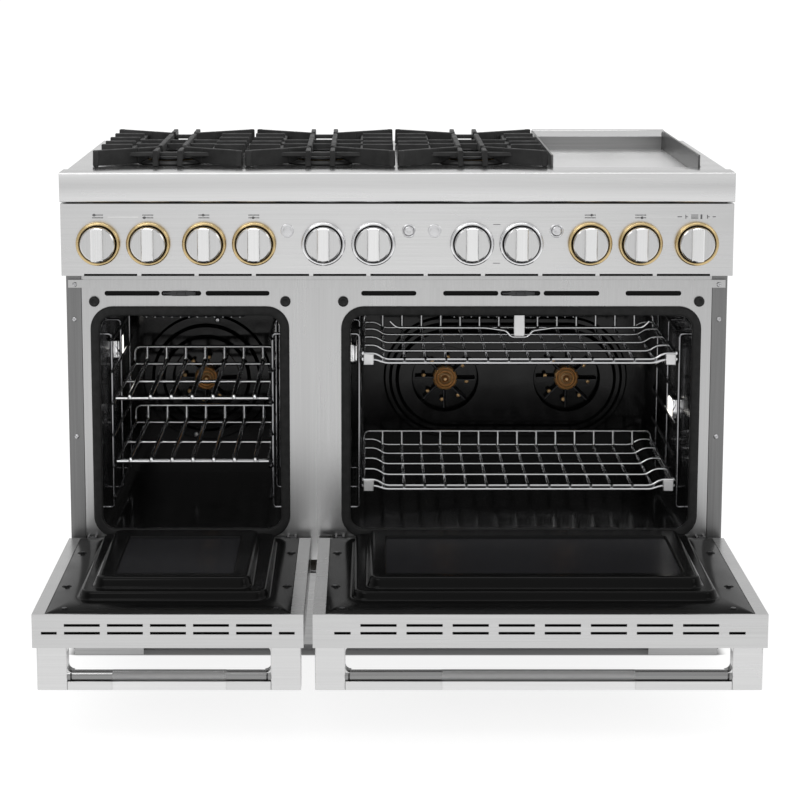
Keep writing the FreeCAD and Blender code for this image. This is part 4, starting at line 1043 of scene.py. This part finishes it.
def frame_fittings():
    """Screws on the frame, backs behind its two rows of slots, and latch hooks. The lower row's
    back is near-black, painted shade in the slots; the upper row's back is steel and closes it,
    with its shade painted on the panel instead.
    """
    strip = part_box("front_frame")[0].y
    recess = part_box("frame_screws")[1].y
    bm = bmesh.new()
    for side in (-1, 1):
        pan_head(bm, side * 0.589, strip, 0.705, 4.5)
        for z in (0.420, 0.640):
            pan_head(bm, side * 0.591, recess, z, 4.5)
    piece("frame_screws_turned", bm, "screw", smooth=50,
          stands_for="frame_screws")
    # The near-black back behind the lower slots is painted shade; the steel back closes the upper
    # slots.
    for name, look, slot, half, behind, foot, tall in (
            ("slot_shade_backs", "well", "bumper", 0.566, 6.2, 0.682, 0.012),
            ("vent_backs", "frame_steel", "hinge_steel", 0.574, 1.0, 0.7135, 0.007)):
        face = strip + behind * MM
        bm = block(bmesh.new(), (-half, face, foot), (half, face + 0.4 * MM, foot + tall))
        piece(name, bm, look)
    bm = bmesh.new()
    face = strip + 4 * MM
    for x in (-0.3945, 0.2265):
        loft(bm, [[(x + part, face - y * MM, 0.688 + z * tall * MM)
                   for y, z in ((-2, -1), (3.2, -1), (3.2, 1), (-2, 1))]
                  for part, tall in ((-0.034, 1.5), (-0.022, 2.4), (-0.016, 4.6), (0.010, 4.8),
                                     (0.022, 3.2), (0.026, 2.8))])
    piece("latch_hooks", bm, "dark_metal", smooth=30, edge=(0.8, 2))


# --- stage, light, camera
def ramp_along(owner, socket, low, high):
    """A smooth 0 to 1 as a coordinate goes from low to high."""
    node = add(owner, "MapRange", Value=socket, From_Min=low, From_Max=high)
    node.interpolation_type = "SMOOTHSTEP"
    return node.outputs["Result"]


def math_node(owner, operation, *values):
    """The result of a Math node; its values are numbers or sockets."""
    node = add(owner, "Math")
    node.operation = operation
    for place, value in zip(node.inputs, values):
        if isinstance(value, float):
            place.default_value = value
        else:
            owner.node_tree.links.new(value, place)
    return node.outputs["Value"]


def coordinates(owner, kind):
    """The X and Y sockets of a texture coordinate."""
    split = add(owner, "SeparateXYZ", Vector=add(owner, "TexCoord").outputs[kind])
    return split.outputs["X"], split.outputs["Y"]


def floor():
    """A white studio floor that glows, with painted shadow under the range and painted shade
    ahead at both sides.
    """
    bm = block(bmesh.new(), (-60, -60, -0.05), (60, 60, 0))
    mesh = bpy.data.meshes.new("floor")
    bm.to_mesh(mesh)
    bm.free()
    ground = show("floor", mesh)
    pale = paint("pale_floor", (0.26, 0.26, 0.26), 0.0, 0.75, Emission_Color=(1, 1, 1, 1),
                 Specular_IOR_Level=0.0)
    roughen(pale, grain(pale, 3.0), 0.7, 0.8)
    x, y = coordinates(pale, "Object")
    across = math_node(pale, "ABSOLUTE", x)
    # Painted shade: the glow dims on the floor ahead at both sides, which darkens the steel's
    # reflections at its ends.
    corner = math_node(pale, "MULTIPLY", ramp_along(pale, across, 0.5, 2.2),
                       ramp_along(pale, y, -1.4, -3.2))
    dimmed = math_node(pale, "MULTIPLY", corner, 0.42)
    # Painted shadow: the glow falls to a tenth over the range's footprint.
    clear = ramp_along(pale, across, 0.600, 0.625)
    for start, end in ((-0.060, -0.070), (0.575, 0.600)):
        clear = math_node(pale, "ADD", clear, ramp_along(pale, y, start, end))
    clear = math_node(pale, "MAXIMUM", math_node(pale, "MINIMUM", clear, 1.0), 0.10)
    glow = math_node(pale, "MULTIPLY", math_node(pale, "SUBTRACT", 0.84, dimmed), clear)
    feed(pale, "Emission Strength", glow)
    mesh.materials.append(pale)


def area_light(name, place, target, size, power):
    """A rectangular soft box that faces a point."""
    data = bpy.data.lights.new(name, "AREA")
    data.shape = "RECTANGLE"
    data.size, data.size_y = size
    data.energy = power
    lamp = show(name, data)
    lamp.location = place
    lamp.rotation_euler = (Vector(target) - Vector(place)).to_track_quat("-Z", "Y").to_euler()


def lights():
    """A white room, dimmer at both sides of the camera and behind the range; three soft boxes."""
    world = bpy.data.worlds.new("studio")
    bpy.context.scene.world = world
    world.use_nodes = True
    background = world.node_tree.nodes["Background"]
    background.inputs["Color"].default_value = (1, 1, 1, 1)
    x, y = coordinates(world, "Generated")
    corner = math_node(world, "MULTIPLY",
                       ramp_along(world, math_node(world, "ABSOLUTE", x), 0.10, 0.62),
                       ramp_along(world, y, -0.05, -0.55))
    dimmed = math_node(world, "ADD", math_node(world, "MULTIPLY", corner, 0.62),
                       math_node(world, "MULTIPLY", ramp_along(world, y, 0.3, 0.8), 0.22))
    strength = math_node(world, "SUBTRACT", 1.0, dimmed)
    world.node_tree.links.new(strength, background.inputs["Strength"])
    area_light("key", (-1.9, -3.4, 3.4), (0, 0, 0.6), (2.2, 1.4), 38)
    area_light("fill", (2.6, -2.6, 2.2), (0, 0, 0.5), (1.4, 1.6), 16)
    area_light("top", (0, 0.2, 3.6), (0, 0.2, 0.9), (2.4, 1.2), 26)


def camera():
    """A long lens that looks down at the front from above the cooktop."""
    distance, height, pitch = 4.0899, 1.3376, 9.19          # pitch in degrees below level
    data = bpy.data.cameras.new("camera")
    data.sensor_width = 36.0
    data.lens = 102.94
    data.shift_x, data.shift_y = 0.0393, -0.12
    eye = show("camera", data)
    rail_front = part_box("front_rail")[0].y
    eye.location = (-0.0516, rail_front - distance, height)
    eye.rotation_euler = (math.radians(90 - pitch), 0, 0)
    bpy.context.scene.camera = eye


# --- the whole scene
knurling()
cad_nodes()
for knob_name in KNOBS:
    knob(knob_name)
bezel_rings()
buttons()
panel_marks()
for side_name in ("left", "right"):
    door_liner(side_name)
    door_handle(side_name)
gasket()
for rack_name in ("rack_left_upper", "rack_left_lower"):
    plain_rack(rack_name)
for rack_name in ("rack_right_upper", "rack_right_lower"):
    glide_rack(rack_name)
guides()
baffles()
for fan_name in FANS:
    fan(fan_name)
lamps()
broilers()
for grate_name in GRATES:
    grate(grate_name)
burners()
griddle()
rail()
bumpers()
frame_fittings()
floor()
lights()
camera()
bpy.context.scene.view_settings.view_transform = "Standard"
